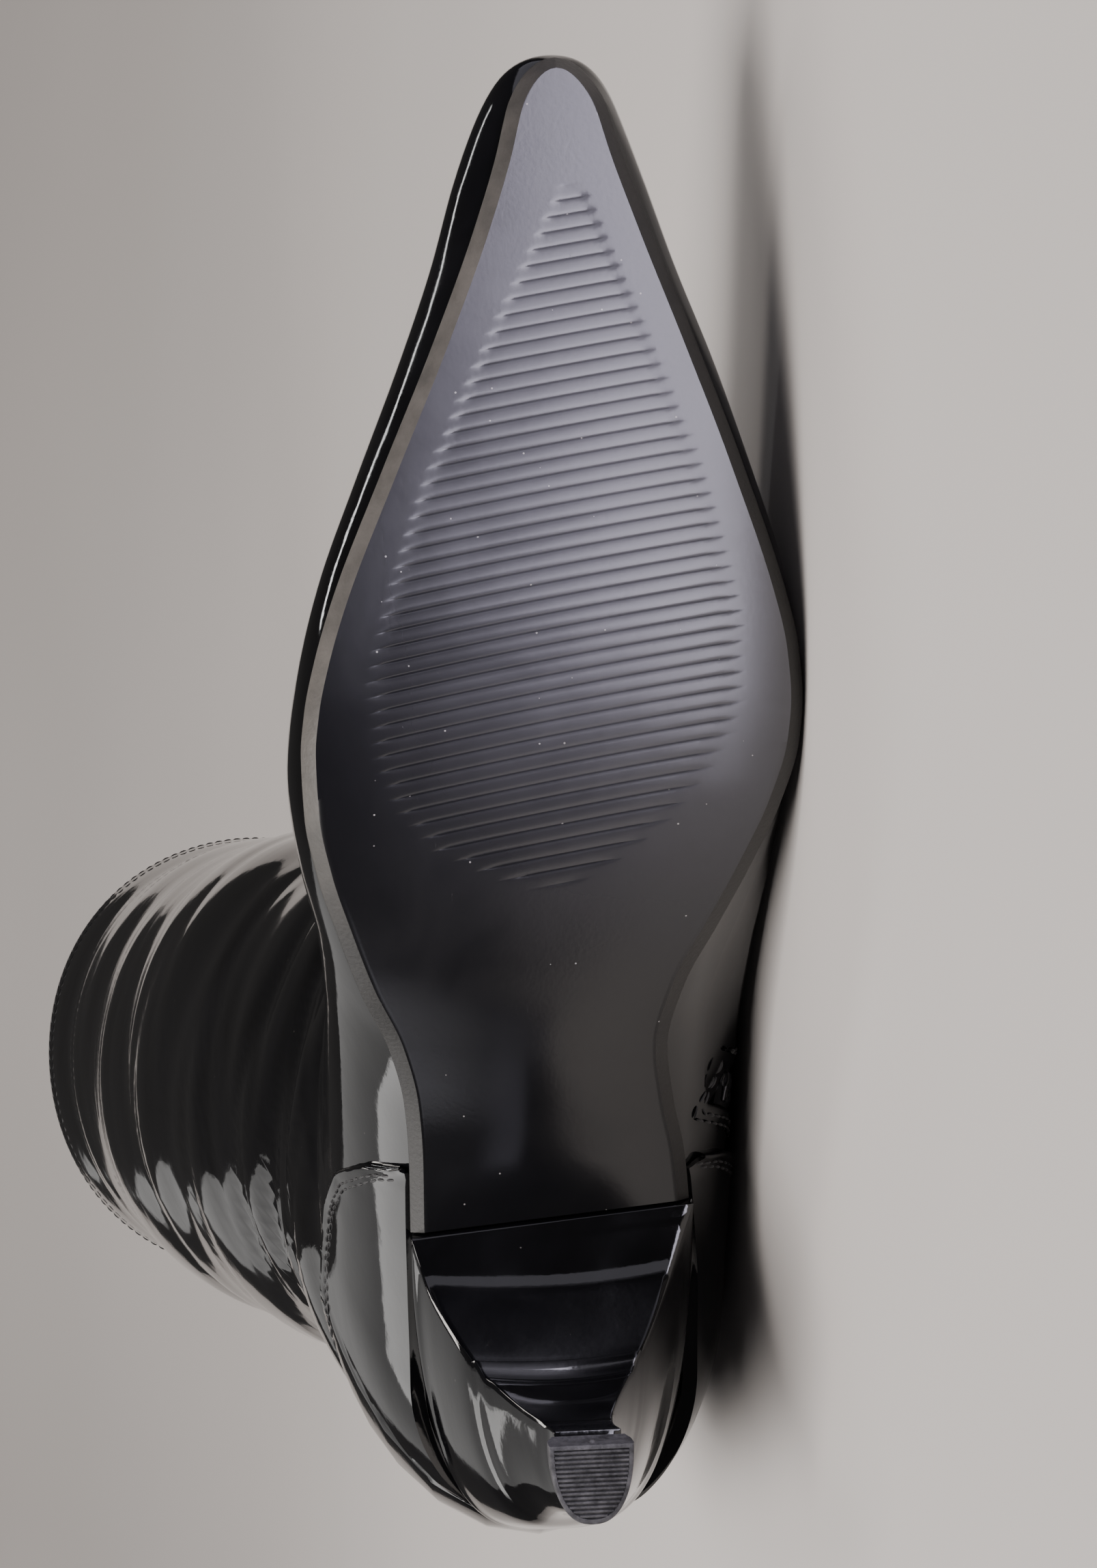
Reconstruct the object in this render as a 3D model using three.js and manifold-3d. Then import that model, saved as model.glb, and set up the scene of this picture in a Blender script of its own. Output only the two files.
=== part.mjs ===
// Over-the-knee boot for the right foot, lying on its inner side.
// Millimetres. The boot is drawn standing: x from heel to toe, y to the inner side, z up.
// lay() then turns every point into the lying pose, +Z up.
import * as THREE from 'three';
import Module from 'manifold-3d';

// Driving dimensions
const SOLE_TIP = 253.3;
const SOLE_THICK = 4.0;
const SEAT_THICK = 3.0;
const SOLE_BEVEL = 2.3;
const WALL = 1.8;
const GAP = 0.3;
const COUNTER_THICK = 1.0;
const COUNTER_TOP = 132;
const HEEL_BACK = 2.6;
const HEEL_HALF = 24.6;
const BREAST_X = 59.0;
const BREAST_SKEW = 0.09;
const HEEL_FOOT_Z = 5.3;
const TIP_THICK = 4.9;
const INSOLE_THICK = 2.0;
const ZIP_HALF = 3.3;
const ZIP_PROUD = 0.35;
const SLIDER = [9.5, 8.0, 2.6];
const PULL = [21.0, 6.5, 1.2];
const BAR = 0.6;
const FLOOR_Y = 36.4;
const FLOOR_Z = 8.0;
const FLOOR_TILT = 3.0;
const FLOOR_SOFT = 1.3;
const HEEL_ROOM = 1.6;
const CENTRE_X = 111.5;
const CENTRE_Y = 310.7;
const COLUMNS = 18;

// Underside of the sole along the foot: x, height over the ground
const BOTTOM = [[0, 62.5], [20, 60.4], [40, 56], [57, 50.3], [75, 41.3], [90, 31.8], [105, 21.8], [120, 12.8],
  [135, 5.8], [150, 1.4], [163, 0], [188, 0], [202, 0.8], [225, 4], [245, 8.3], [256, 11]];

// Sole edge: x, outer side, inner side
const EDGE = [[0, 27.0, 22.2], [30, 27.0, 22.2], [45, 27.3, 22.2], [58, 27.6, 21.4], [70, 27.8, 20.0],
  [80, 28.6, 17.6], [90, 31.2, 16.1], [100, 36.0, 18.4], [110, 39.8, 23.4], [120, 43.1, 28.4], [130, 45.1, 32.8],
  [140, 45.5, 35.6], [147, 44.8, 36.1], [155, 43.0, 35.5], [165, 39.8, 33.4], [185, 31.4, 27.2],
  [205, 22.7, 20.3], [225, 14.8, 13.4], [240, 10.0, 8.9], [254, 7.2, 6.2]];

// Upper, one row for each section from toe to collar.
// foot x, foot z, ridge x, ridge z, middle y, outer half, inner half, height of the widest point (share),
// fullness of the top, shift of the ridge to the inner side
const ROWS = [
  [252.8, 14.4, 252.8, 14.4, -0.6, 0.0, 0.0, 0.45, 0.00, 0],
  [252.4, 14.3, 254.7, 18.0, -0.6, 3.6, 3.6, 0.45, 0.00, 0],
  [250.9, 13.9, 254.0, 23.0, -0.7, 6.9, 6.8, 0.45, 0.05, 0],
  [247.6, 13.2, 251.0, 27.6, -0.8, 9.8, 9.6, 0.44, 0.08, 0],
  [241.5, 11.9, 245.0, 31.6, -1.1, 12.7, 12.5, 0.42, 0.10, 0],
  [232.0, 9.6, 235.0, 35.6, -1.5, 16.0, 16.2, 0.38, 0.10, 0.5],
  [218.0, 7.0, 220.0, 40.4, -2.0, 19.9, 21.2, 0.33, 0.08, 1.5],
  [202.0, 5.1, 204.0, 45.4, -2.7, 25.2, 27.6, 0.28, 0.06, 2.5],
  [184.0, 4.3, 186.5, 51.2, -3.4, 31.8, 34.0, 0.24, 0.04, 3.5],
  [167.0, 4.3, 170.5, 58.6, -4.1, 37.6, 39.8, 0.21, 0.02, 4.5],
  [150.0, 5.7, 157.5, 68.4, -4.8, 41.0, 42.6, 0.20, 0.00, 5.2],
  [134.0, 10.6, 147.0, 81.0, -5.2, 42.2, 42.8, 0.21, 0.00, 5.6],
  [118.0, 18.5, 138.8, 95.5, -5.4, 40.2, 41.4, 0.24, 0.00, 5.5],
  [102.0, 28.0, 132.6, 111.0, -5.4, 37.0, 40.4, 0.28, 0.02, 5.0],
  [85.0, 39.0, 128.4, 127.0, -5.2, 35.6, 39.9, 0.31, 0.04, 4.2],
  [66.0, 49.8, 125.9, 143.5, -5.0, 35.4, 39.6, 0.34, 0.05, 3.4],
  [44.0, 58.2, 124.4, 161.0, -4.8, 35.6, 39.4, 0.38, 0.06, 2.6],
  [22.0, 63.4, 123.8, 179.5, -4.6, 36.2, 39.6, 0.43, 0.06, 1.8],
  [8.5, 65.2, 123.6, 194.0, -4.5, 37.0, 40.0, 0.46, 0.06, 1.4],
  [3.6, 65.6, 123.5, 204.0, -4.5, 37.8, 40.4, 0.48, 0.06, 1.2],
  [-1.4, 86.0, 123.4, 220.0, -4.5, 38.8, 41.2, 0.49, 0.06, 0.8],
  [-0.2, 114.0, 123.6, 240.0, -4.5, 40.2, 42.2, 0.50, 0.06, 0.4],
  [5.2, 148.0, 124.2, 265.0, -4.5, 42.4, 43.6, 0.50, 0.05, 0],
  [7.6, 192.0, 124.8, 298.0, -4.5, 45.4, 45.4, 0.50, 0.05, 0],
  [4.4, 246.0, 125.0, 338.0, -4.5, 49.0, 47.2, 0.50, 0.05, 0],
  [-1.0, 308.0, 124.6, 386.0, -4.5, 52.6, 48.8, 0.50, 0.05, 0],
  [-6.4, 378.0, 123.0, 442.0, -4.5, 56.0, 50.0, 0.50, 0.05, 0],
  [-11.2, 456.0, 121.4, 504.0, -4.5, 59.6, 51.2, 0.50, 0.05, 0],
  [-15.6, 536.0, 120.0, 564.0, -4.5, 63.4, 52.4, 0.50, 0.05, 0],
  [-19.6, 612.0, 119.0, 620.0, -4.5, 67.0, 53.6, 0.50, 0.05, 0]];
const HEEL_ROW = 19;
const ZIP_ROW = 14.6;

// How far the leg leans to the outer side: z, y
const LEAN = [[0, 0], [90, 0], [150, -3.0], [230, -11.0], [330, -20.5], [450, -29.0], [560, -36.0], [640, -41.0]];

// Broad slack folds round the leg: height at the middle, rise towards the front, breadth, depth
const FOLDS = [[130, 0.35, 11, 2.2], [174, -0.25, 14, 2.6], [228, 0.3, 17, 2.2], [302, -0.2, 21, 2.4],
  [394, 0.25, 25, 2.6], [488, -0.15, 27, 2.0], [566, 0.12, 21, 1.6]];
const LEG_X = 62;

// Line of the zip seen from the side: z, x
const ZIP_LINE = [[40, 82], [60, 79.5], [80, 74.5], [110, 63], [150, 45], [200, 27], [260, 15], [340, 6], [430, 0],
  [520, -5.5], [640, -11.5]];

// Heel block under the seat: z, breast x, back x, half width
const HEEL = [[50.3, 57.6, 2.6, 24.6], [47.5, 53.2, 3.4, 23.2], [43.5, 47.8, 4.8, 20.8], [38.5, 43.0, 6.8, 17.6],
  [33, 38.8, 9.0, 14.4], [27.5, 35.6, 11.2, 11.6], [22, 33.2, 12.8, 9.0], [16.5, 31.5, 14.0, 7.0],
  [11.5, 30.4, 14.8, 5.8], [8, 29.9, 15.2, 5.3], [5.3, 29.7, 15.3, 5.5]];

const clamp = (v, a, b) => Math.max(a, Math.min(b, v));
const smooth = v => v * v * (3 - 2 * v);
const nose = u => (u >= 1 ? 1 : Math.sqrt(Math.max(0, 1 - (1 - u) ** 2)));

// Smooth reading of one column of a table whose first column rises
function read(table, x, column = 1) {
  const n = table.length;
  let k = 0;
  while (k < n - 2 && x > table[k + 1][0]) k += 1;
  const slope = i => {
    if (i <= 0 || i >= n - 1) return 0;
    const a = (table[i][column] - table[i - 1][column]) / (table[i][0] - table[i - 1][0]);
    const b = (table[i + 1][column] - table[i][column]) / (table[i + 1][0] - table[i][0]);
    return a * b <= 0 ? 0 : (2 * a * b) / (a + b);
  };
  const h = table[k + 1][0] - table[k][0];
  const t = clamp((x - table[k][0]) / h, 0, 1);
  const p = table[k][column];
  const q = table[k + 1][column];
  return p * (1 + 2 * t) * (1 - t) ** 2 + h * slope(k) * t * (1 - t) ** 2
    + q * t * t * (3 - 2 * t) - h * slope(k + 1) * t * t * (1 - t);
}

// One section of the upper at a fractional row, by a curve through the rows
function rowAt(s) {
  const k = clamp(Math.floor(s), 0, ROWS.length - 2);
  const t = s - k;
  const a = ROWS[Math.max(0, k - 1)];
  const b = ROWS[k];
  const c = ROWS[k + 1];
  const d = ROWS[Math.min(ROWS.length - 1, k + 2)];
  return b.map((_, i) => {
    const m = (c[i] - a[i]) / 2;
    const n = (d[i] - b[i]) / 2;
    return b[i] * (1 + 2 * t) * (1 - t) ** 2 + m * t * (1 - t) ** 2
      + c[i] * t * t * (3 - 2 * t) - n * t * t * (1 - t);
  });
}

const bottomZ = x => read(BOTTOM, x);
const soleThick = x => SEAT_THICK + (SOLE_THICK - SEAT_THICK) * smooth(clamp((x - 40) / 70, 0, 1));
const seatZ = x => bottomZ(x) + soleThick(x);

// Half breadths of the sole from its middle line, rounded at the toe and behind the heel
function edgeAt(x) {
  const outer = read(EDGE, x, 1);
  const inner = read(EDGE, x, 2);
  const middle = (inner - outer) / 2;
  const half = (inner + outer) / 2 * nose(Math.max(0, SOLE_TIP - x) / 9)
    * nose(Math.max(0, x - HEEL_BACK) / 27);
  return [middle, half];
}

const floorAt = z => FLOOR_Y - Math.tan(FLOOR_TILT * Math.PI / 180) * (z - FLOOR_Z);
const TOP_SHARE = 0.62;

function foldAt(x, z) {
  let sum = 0;
  for (const [at, rise, breadth, depth] of FOLDS) {
    sum += depth / 50 * Math.exp(-(((z - at - rise * (x - LEG_X)) / breadth) ** 2));
  }
  return sum * smooth(clamp((z - 96) / 24, 0, 1));
}

// Point of the upper's outside. s is the row, t runs -1..1 from the outer foot edge over the ridge to the inner.
function upperPoint(s, t) {
  const [bx, bz0, tx, tz, mid, outer, inner, wide, full, shift] = rowAt(s);
  const bz = s < HEEL_ROW ? seatZ(bx) + GAP : bz0;
  const side = t < 0 ? -1 : 1;
  const a = Math.abs(t);
  const half = side < 0 ? outer : inner;
  let foot = 0;
  if (s < HEEL_ROW && bx > HEEL_BACK) {
    const [middle, edge] = edgeAt(bx);
    const ease = nose(clamp((252.8 - bx) / 9, 0, 1));
    foot = clamp(edge + side * (middle - mid) - 0.5, 0, half * 0.985) * (bx > 245 ? ease : 1);
    foot *= smooth(clamp((HEEL_ROW - s) / 0.9, 0, 1)) * 0.15 + 0.85;
    if (s > HEEL_ROW - 1) foot *= nose((HEEL_ROW - s));
  }
  let y;
  let r;
  if (a <= TOP_SHARE) {
    const g = (1 - a / TOP_SHARE) * Math.PI / 2;
    y = half * Math.cos(g) * (1 + full * Math.sin(g) ** 2);
    r = wide + (1 - wide) * Math.sin(g);
  } else {
    const b0 = half > 0 ? Math.asin(clamp(foot / half, 0, 0.99)) : 0;
    const b = Math.PI / 2 + (a - TOP_SHARE) / (1 - TOP_SHARE) * (b0 - Math.PI / 2);
    y = half * Math.sin(b) * (1 + full * Math.cos(b) ** 2 * (1 - (half > 0 ? foot / half : 0)));
    r = wide - wide / Math.cos(b0) * Math.cos(b);
  }
  const w = clamp((r - wide) / (1 - wide), 0, 1);
  const dip = foldAt(bx + (tx - bx) * r, bz + (tz - bz) * r);
  y *= 1 - dip;
  r = 0.5 + (r - 0.5) * (1 - dip);
  const z = bz + (tz - bz) * r;
  y = mid + side * y + shift * w * w + read(LEAN, z);
  const x = bx + (tx - bx) * r;
  const room = smooth(clamp((104 - x) / 16, 0, 1)) * smooth(clamp((195 - z) / 35, 0, 1));
  const limit = floorAt(z) - HEEL_ROOM * room;
  const over = (limit - y) / FLOOR_SOFT;
  if (over < 30) y = limit - FLOOR_SOFT * Math.log(1 + Math.exp(over));
  return new THREE.Vector3(x, y, z);
}

// Outward normal by small steps along the form
function upperNormal(s, t) {
  const s0 = Math.max(0.05, s - 0.02);
  const s1 = Math.min(ROWS.length - 1.0001, s + 0.02);
  const u = clamp(t, -0.985, 0.985);
  const across = upperPoint((s0 + s1) / 2, u + 0.012).sub(upperPoint((s0 + s1) / 2, u - 0.012));
  const along = upperPoint(s1, u).sub(upperPoint(s0, u));
  return across.cross(along).normalize();
}

// Share t of the zip's line at a row, found by halving
function zipShare(s) {
  let low = 0.05;
  let high = 0.97;
  for (let i = 0; i < 40; i += 1) {
    const m = (low + high) / 2;
    const p = upperPoint(s, m);
    if (p.x > read(ZIP_LINE, p.z)) low = m;
    else high = m;
  }
  return (low + high) / 2;
}

// Breadth of the zip at a row as a share of t
function zipSpread(s, half) {
  const t = zipShare(s);
  const d = upperPoint(s, t + 0.01).distanceTo(upperPoint(s, t - 0.01)) / 0.02;
  const a = upperPoint(s, t);
  const b = upperPoint(Math.min(s + 0.15, ROWS.length - 1.001), zipShare(Math.min(s + 0.15, ROWS.length - 1.001)));
  const u = upperPoint(s, t + 0.01).sub(upperPoint(s, t - 0.01)).normalize();
  const v = b.clone().sub(a).normalize();
  const lean = Math.sqrt(Math.max(0.1, 1 - u.dot(v) ** 2));
  return half / lean / d;
}

// Turn a standing point into the lying pose
const TILT = FLOOR_TILT * Math.PI / 180;
const BASE = FLOOR_Y * Math.cos(TILT) + FLOOR_Z * Math.sin(TILT);
function lay(p) {
  return new THREE.Vector3(p.x - CENTRE_X,
    -p.y * Math.sin(TILT) + p.z * Math.cos(TILT) - CENTRE_Y,
    -p.y * Math.cos(TILT) - p.z * Math.sin(TILT) + BASE);
}

// Solid between two skins over the same quads. Open edges get a rim.
function thick(outer, inner, quads) {
  const n = outer.length;
  const faces = [];
  const edges = new Map();
  const tri = (a, b, c) => { if (a !== b && b !== c && a !== c) faces.push(a, b, c); };
  for (const q of quads) {
    tri(q[0], q[1], q[2]);
    tri(q[0], q[2], q[3]);
    tri(n + q[0], n + q[2], n + q[1]);
    tri(n + q[0], n + q[3], n + q[2]);
    for (let i = 0; i < 4; i += 1) {
      const a = q[i];
      const b = q[(i + 1) % 4];
      if (a === b) continue;
      if (edges.has(b * n + a)) edges.delete(b * n + a);
      else edges.set(a * n + b, [a, b]);
    }
  }
  for (const [a, b] of edges.values()) {
    tri(a, n + b, b);
    tri(a, n + a, n + b);
  }
  return [outer.concat(inner), faces];
}

function geometryOf(points, faces) {
  const laid = points.map(lay);
  const used = new Map();
  const flat = [];
  const index = faces.map(i => {
    if (!used.has(i)) {
      used.set(i, used.size);
      flat.push(laid[i].x, laid[i].y, laid[i].z);
    }
    return used.get(i);
  });
  const g = new THREE.BufferGeometry();
  g.setAttribute('position', new THREE.Float32BufferAttribute(flat, 3));
  g.setIndex(index);
  return g;
}

const wasm = await Module();
wasm.setup();

function solidOf(g) {
  return new wasm.Manifold(new wasm.Mesh({
    numProp: 3,
    vertProperties: new Float32Array(g.attributes.position.array),
    triVerts: new Uint32Array(g.index.array)
  }));
}

function meshGeometry(solid) {
  const m = solid.getMesh();
  const g = new THREE.BufferGeometry();
  g.setAttribute('position', new THREE.Float32BufferAttribute(m.vertProperties, 3));
  g.setIndex(Array.from(m.triVerts));
  return g;
}

const boot = new THREE.Group();
boot.name = 'boot';

function add(name, geometry, colour, roughness) {
  const g = geometry.clone();
  g.deleteAttribute('normal');
  g.computeVertexNormals();
  const m = new THREE.Mesh(g, new THREE.MeshStandardMaterial({ color: colour, roughness }));
  m.name = name;
  boot.add(m);
  return m;
}

// Grid of the upper's outside: rows of stations, columns split at the zip
const STATIONS = [];
for (let s = 0; s < 5; s += 1) STATIONS.push(s);
for (let s = 5; s < HEEL_ROW; s += 0.5) STATIONS.push(s);
for (let s = HEEL_ROW; s < ROWS.length - 1; s += 0.5) STATIONS.push(s);
STATIONS.push(ROWS.length - 1.0001);

function columnsAt() {
  const list = [];
  for (let i = 0; i <= 2 * COLUMNS; i += 1) list.push(i / COLUMNS - 1);
  return list;
}

function shellOver(stations, columns, near, far) {
  const count = columns(stations[0]).length;
  const outer = [];
  const inner = [];
  const id = [];
  stations.forEach((s, i) => {
    id.push([]);
    columns(s).forEach((t, j) => {
      if (s === 0 && j > 0) { id[i].push(id[i][0]); return; }
      if (s >= HEEL_ROW && j === count - 1) { id[i].push(id[i][0]); return; }
      const p = upperPoint(s, t);
      let n = upperNormal(s, t);
      if (s >= HEEL_ROW && Math.abs(t) > 0.99) n = new THREE.Vector3(n.x, 0, n.z).normalize();
      if (s === 0) n = new THREE.Vector3(1, 0, 0.3).normalize();
      id[i].push(outer.length);
      outer.push(p.clone().addScaledVector(n, far));
      inner.push(p.clone().addScaledVector(n, near));
    });
  });
  const quads = [];
  for (let i = 0; i < stations.length - 1; i += 1) {
    for (let j = 0; j < count - 1; j += 1) {
      quads.push([id[i][j], id[i][j + 1], id[i + 1][j + 1], id[i + 1][j]]);
    }
  }
  return thick(outer, inner, quads);
}

// Counter: the same skin a little further out, cut to its side outline
const heelStations = STATIONS.filter(s => s >= 13 && s <= 24);
const cover = solidOf(geometryOf(...shellOver(heelStations, columnsAt, GAP, GAP + COUNTER_THICK)));
function counterPrism() {
  const line = [[69.5, 20], [69.0, 60], [66.0, 78], [60, 92], [50, 104], [38, 113], [24, 121], [10, 128],
    [-4, COUNTER_TOP], [-40, COUNTER_TOP + 2], [-40, 20]];
  const pts = [];
  for (const [x, z] of line) pts.push(new THREE.Vector3(x, -90, z));
  for (const [x, z] of line) pts.push(new THREE.Vector3(x, 90, z));
  const n = line.length;
  const faces = [];
  const flat = THREE.ShapeUtils.triangulateShape(line.map(p => new THREE.Vector2(p[0], p[1])), []);
  for (const [a, b, c] of flat) {
    faces.push(a, b, c, n + a, n + c, n + b);
  }
  for (let i = 0; i < n; i += 1) {
    const k = (i + 1) % n;
    faces.push(i, n + i, n + k, i, n + k, k);
  }
  return solidOf(geometryOf(pts, faces));
}
const prism = counterPrism();

// Zip: a strip in the slot of the wall
function stripOver(from, last, half, near, far, beyond = 0) {
  const stations = [from];
  for (let s = Math.ceil(from * 2 + 0.2) / 2; s < last - 0.1; s += s > 20.9 && s < 23.9 ? 0.25 : 0.5) stations.push(s);
  stations.push(last);
  if (beyond) stations.push(last);
  const outer = [];
  const inner = [];
  const quads = [];
  stations.forEach((s, i) => {
    const t = zipShare(s);
    const w = zipSpread(s, half);
    [-1, 0, 1].forEach(k => {
      const p = upperPoint(s, t + k * w);
      const n = upperNormal(s, t + k * w);
      if (beyond && i === stations.length - 1) {
        p.add(p.clone().sub(upperPoint(s - 0.05, t + k * w)).normalize().multiplyScalar(beyond));
      }
      outer.push(p.clone().addScaledVector(n, far));
      inner.push(p.clone().addScaledVector(n, near));
    });
    if (i > 0) {
      for (const k of [0, 1]) {
        const a = 3 * (i - 1) + k;
        quads.push([a, a + 1, a + 4, a + 3]);
      }
    }
  });
  return thick(outer, inner, quads);
}
const LAST = ROWS.length - 1.0001;
const chain = stripOver(ZIP_ROW, LAST - 0.03, ZIP_HALF, -WALL, ZIP_PROUD);
const slot = stripOver(ZIP_ROW - 0.03, LAST, ZIP_HALF + GAP + 0.15, -WALL - 2, 3, 6);
const clear = solidOf(geometryOf(...stripOver(ZIP_ROW - 0.75, 24, ZIP_HALF + 2.2, -WALL - 2, 6)));
const wall = solidOf(geometryOf(...shellOver(STATIONS, columnsAt, -WALL, 0))).subtract(solidOf(geometryOf(...slot)));
add('upper', meshGeometry(wall), 0x0b0b0d, 0.12);

// Everything under the seat surface, to trim the counter's lower edge
function belowSeat() {
  const outer = [];
  const inner = [];
  const quads = [];
  for (let i = 0; i <= 20; i += 1) {
    const x = -12 + i * 5;
    for (const y of [-60, 60]) {
      outer.push(new THREE.Vector3(x, y, seatZ(Math.max(0, x)) + GAP));
      inner.push(new THREE.Vector3(x, y, 10));
    }
    if (i > 0) quads.push([2 * i - 2, 2 * i, 2 * i + 1, 2 * i - 1]);
  }
  return solidOf(geometryOf(...thick(outer, inner, quads)));
}
const under = solidOf(geometryOf(...shellOver(heelStations, columnsAt, -WALL, GAP * 0.6)));
let counter = cover.subtract(under).intersect(prism).subtract(clear).subtract(wall).subtract(belowSeat());
const parts = counter.decompose();
parts.sort((a, b) => b.volume() - a.volume());
counter = parts[0];
add('counter', meshGeometry(counter), 0x0b0b0d, 0.12);
add('zip_chain', geometryOf(...chain), 0x141416, 0.5);

// Outsole by rings of its outline
function soleRing(inset, rise, steps) {
  const tip = SOLE_TIP - inset;
  const list = [];
  for (let i = 0; i <= steps; i += 1) {
    const u = i / steps;
    const x = BREAST_X + GAP + (tip - BREAST_X - GAP) * (1 - (1 - u) ** 1.7);
    const [middle, half] = edgeAt(Math.min(x + inset * smooth(u), SOLE_TIP));
    const slope = (edgeAt(x + 1)[1] - edgeAt(x - 1)[1]) / 2;
    const y = Math.max(0, half - inset * Math.sqrt(1 + Math.min(4, slope * slope)));
    list.push([x, middle, i === steps ? 0 : y]);
  }
  const skew = y => BREAST_SKEW * (y + 2);
  const make = ([x, m, y], k) => {
    const yy = m + k * y;
    const fade = 1 - smooth(clamp((x - BREAST_X) / 30, 0, 1));
    const px = x + skew(yy) * fade;
    return new THREE.Vector3(px, yy, rise(px));
  };
  return [list.map(p => make(p, -1)), list.map(p => make(p, 1))];
}
function soleSolid() {
  const steps = 34;
  const rings = [soleRing(SOLE_BEVEL, bottomZ, steps), soleRing(0, x => bottomZ(x) + 0.62 * soleThick(x), steps),
    soleRing(0.25, seatZ, steps)];
  const pts = [];
  const id = rings.map(([a, b]) => {
    const l = a.map(p => pts.push(p) - 1);
    const r = b.map((p, i) => (i === steps ? l[i] : pts.push(p) - 1));
    return [l, r];
  });
  const faces = [];
  const tri = (a, b, c) => { if (a !== b && b !== c && a !== c) faces.push(a, b, c); };
  const quad = (a, b, c, d) => { tri(a, b, c); tri(a, c, d); };
  for (let i = 0; i < steps; i += 1) {
    quad(id[0][0][i], id[0][1][i], id[0][1][i + 1], id[0][0][i + 1]);
    quad(id[2][0][i], id[2][0][i + 1], id[2][1][i + 1], id[2][1][i]);
    for (let k = 0; k < 2; k += 1) {
      quad(id[k][0][i], id[k][0][i + 1], id[k + 1][0][i + 1], id[k + 1][0][i]);
      quad(id[k][1][i], id[k + 1][1][i], id[k + 1][1][i + 1], id[k][1][i + 1]);
    }
  }
  for (let k = 0; k < 2; k += 1) {
    quad(id[k][0][0], id[k + 1][0][0], id[k + 1][1][0], id[k][1][0]);
  }
  return [pts, faces];
}
add('outsole', geometryOf(...soleSolid()), 0x17171a, 0.55);

// Outline with a nearly flat front and a round back, seen from above
function heelRing(front, back, half, middle, count, height) {
  const list = [];
  const wide = front - (front - back) * 0.3;
  for (let i = 0; i < count; i += 1) {
    const a = 2 * Math.PI * i / count;
    const c = Math.cos(a);
    const d = Math.sin(a);
    const y = middle + half * Math.sign(d) * Math.abs(d) ** 0.8;
    let x = c >= 0 ? wide + (front - wide) * Math.abs(c) ** 0.32 : wide - (wide - back) * Math.abs(c);
    x += BREAST_SKEW * (y + 2) * smooth(clamp((x - 30) / 28, 0, 1)) * (c >= 0 ? 1 : 0.5);
    list.push(new THREE.Vector3(x, y, height(x)));
  }
  return list;
}
function stack(rings) {
  const pts = rings.flat();
  const n = rings[0].length;
  const faces = [];
  for (let k = 0; k < rings.length - 1; k += 1) {
    for (let i = 0; i < n; i += 1) {
      const j = (i + 1) % n;
      faces.push(k * n + i, (k + 1) * n + i, (k + 1) * n + j, k * n + i, (k + 1) * n + j, k * n + j);
    }
  }
  const last = (rings.length - 1) * n;
  const tri = (a, b, c) => { if (a !== b && b !== c && a !== c) faces.push(a, b, c); };
  for (let i = 0; i < n / 2; i += 1) {
    const [a, b, c, d] = [i, i + 1, n - 1 - i, (n - i) % n];
    tri(a, b, c);
    tri(a, c, d);
    tri(last + a, last + c, last + b);
    tri(last + a, last + d, last + c);
  }
  return [pts, faces];
}
function seatRing(inset, drop, count) {
  return heelRing(57.6 + 0.6, HEEL_BACK + inset, HEEL_HALF - inset, -2.4, count, x => seatZ(x) - drop);
}
const heelRings = [seatRing(0.4, 0, 36), seatRing(0, 1.0, 36)];
for (const [z, front, back, half] of HEEL) {
  const share = smooth(clamp((50.3 - z) / 17, 0, 1));
  heelRings.push(heelRing(front, back, half, -2.4, 36, x => (1 - share) * (seatZ(x) - 3.2 - (50.3 - z)) + share * z));
}
add('heel', geometryOf(...stack(heelRings)), 0x0b0b0d, 0.12);
const tipRings = [[4.9, 28.9, 15.5, 5.9], [4.0, 28.4, 15.4, 6.7], [0.5, 28.3, 15.4, 6.85], [0, 28.0, 15.8, 6.5]]
  .map(([z, front, back, half]) => heelRing(front, back, half, -2.4, 28, () => z));
add('heel_tip', geometryOf(...stack(tipRings)), 0x232326, 0.7);

// Insole on the sole, inside the wall
function insole() {
  const xs = [];
  for (let i = 0; i <= 30; i += 1) xs.push(8 + 238 * (1 - Math.cos(Math.PI * i / 30)) / 2);
  const outer = [];
  const inner = [];
  const quads = [];
  xs.forEach((x, i) => {
    const [m, h] = edgeAt(clamp(x, 8, 246));
    const end = nose((i === 0 || i === 30 ? 0.12 : Math.min(x - 8, 246 - x) / 16 + 0.12));
    const w = Math.max(0.5, (h - 4.2)) * Math.min(1, end);
    for (const k of [-1, -0.5, 0, 0.5, 1]) {
      outer.push(new THREE.Vector3(x, m + k * w, seatZ(x) + GAP + INSOLE_THICK));
      inner.push(new THREE.Vector3(x, m + k * w, seatZ(x) + GAP));
    }
    if (i > 0) {
      for (let k = 0; k < 4; k += 1) {
        const a = 5 * (i - 1) + k;
        quads.push([a, a + 5, a + 6, a + 1]);
      }
    }
  });
  return thick(outer, inner, quads);
}
add('insole', geometryOf(...insole()), 0x2b2724, 0.8);

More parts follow.
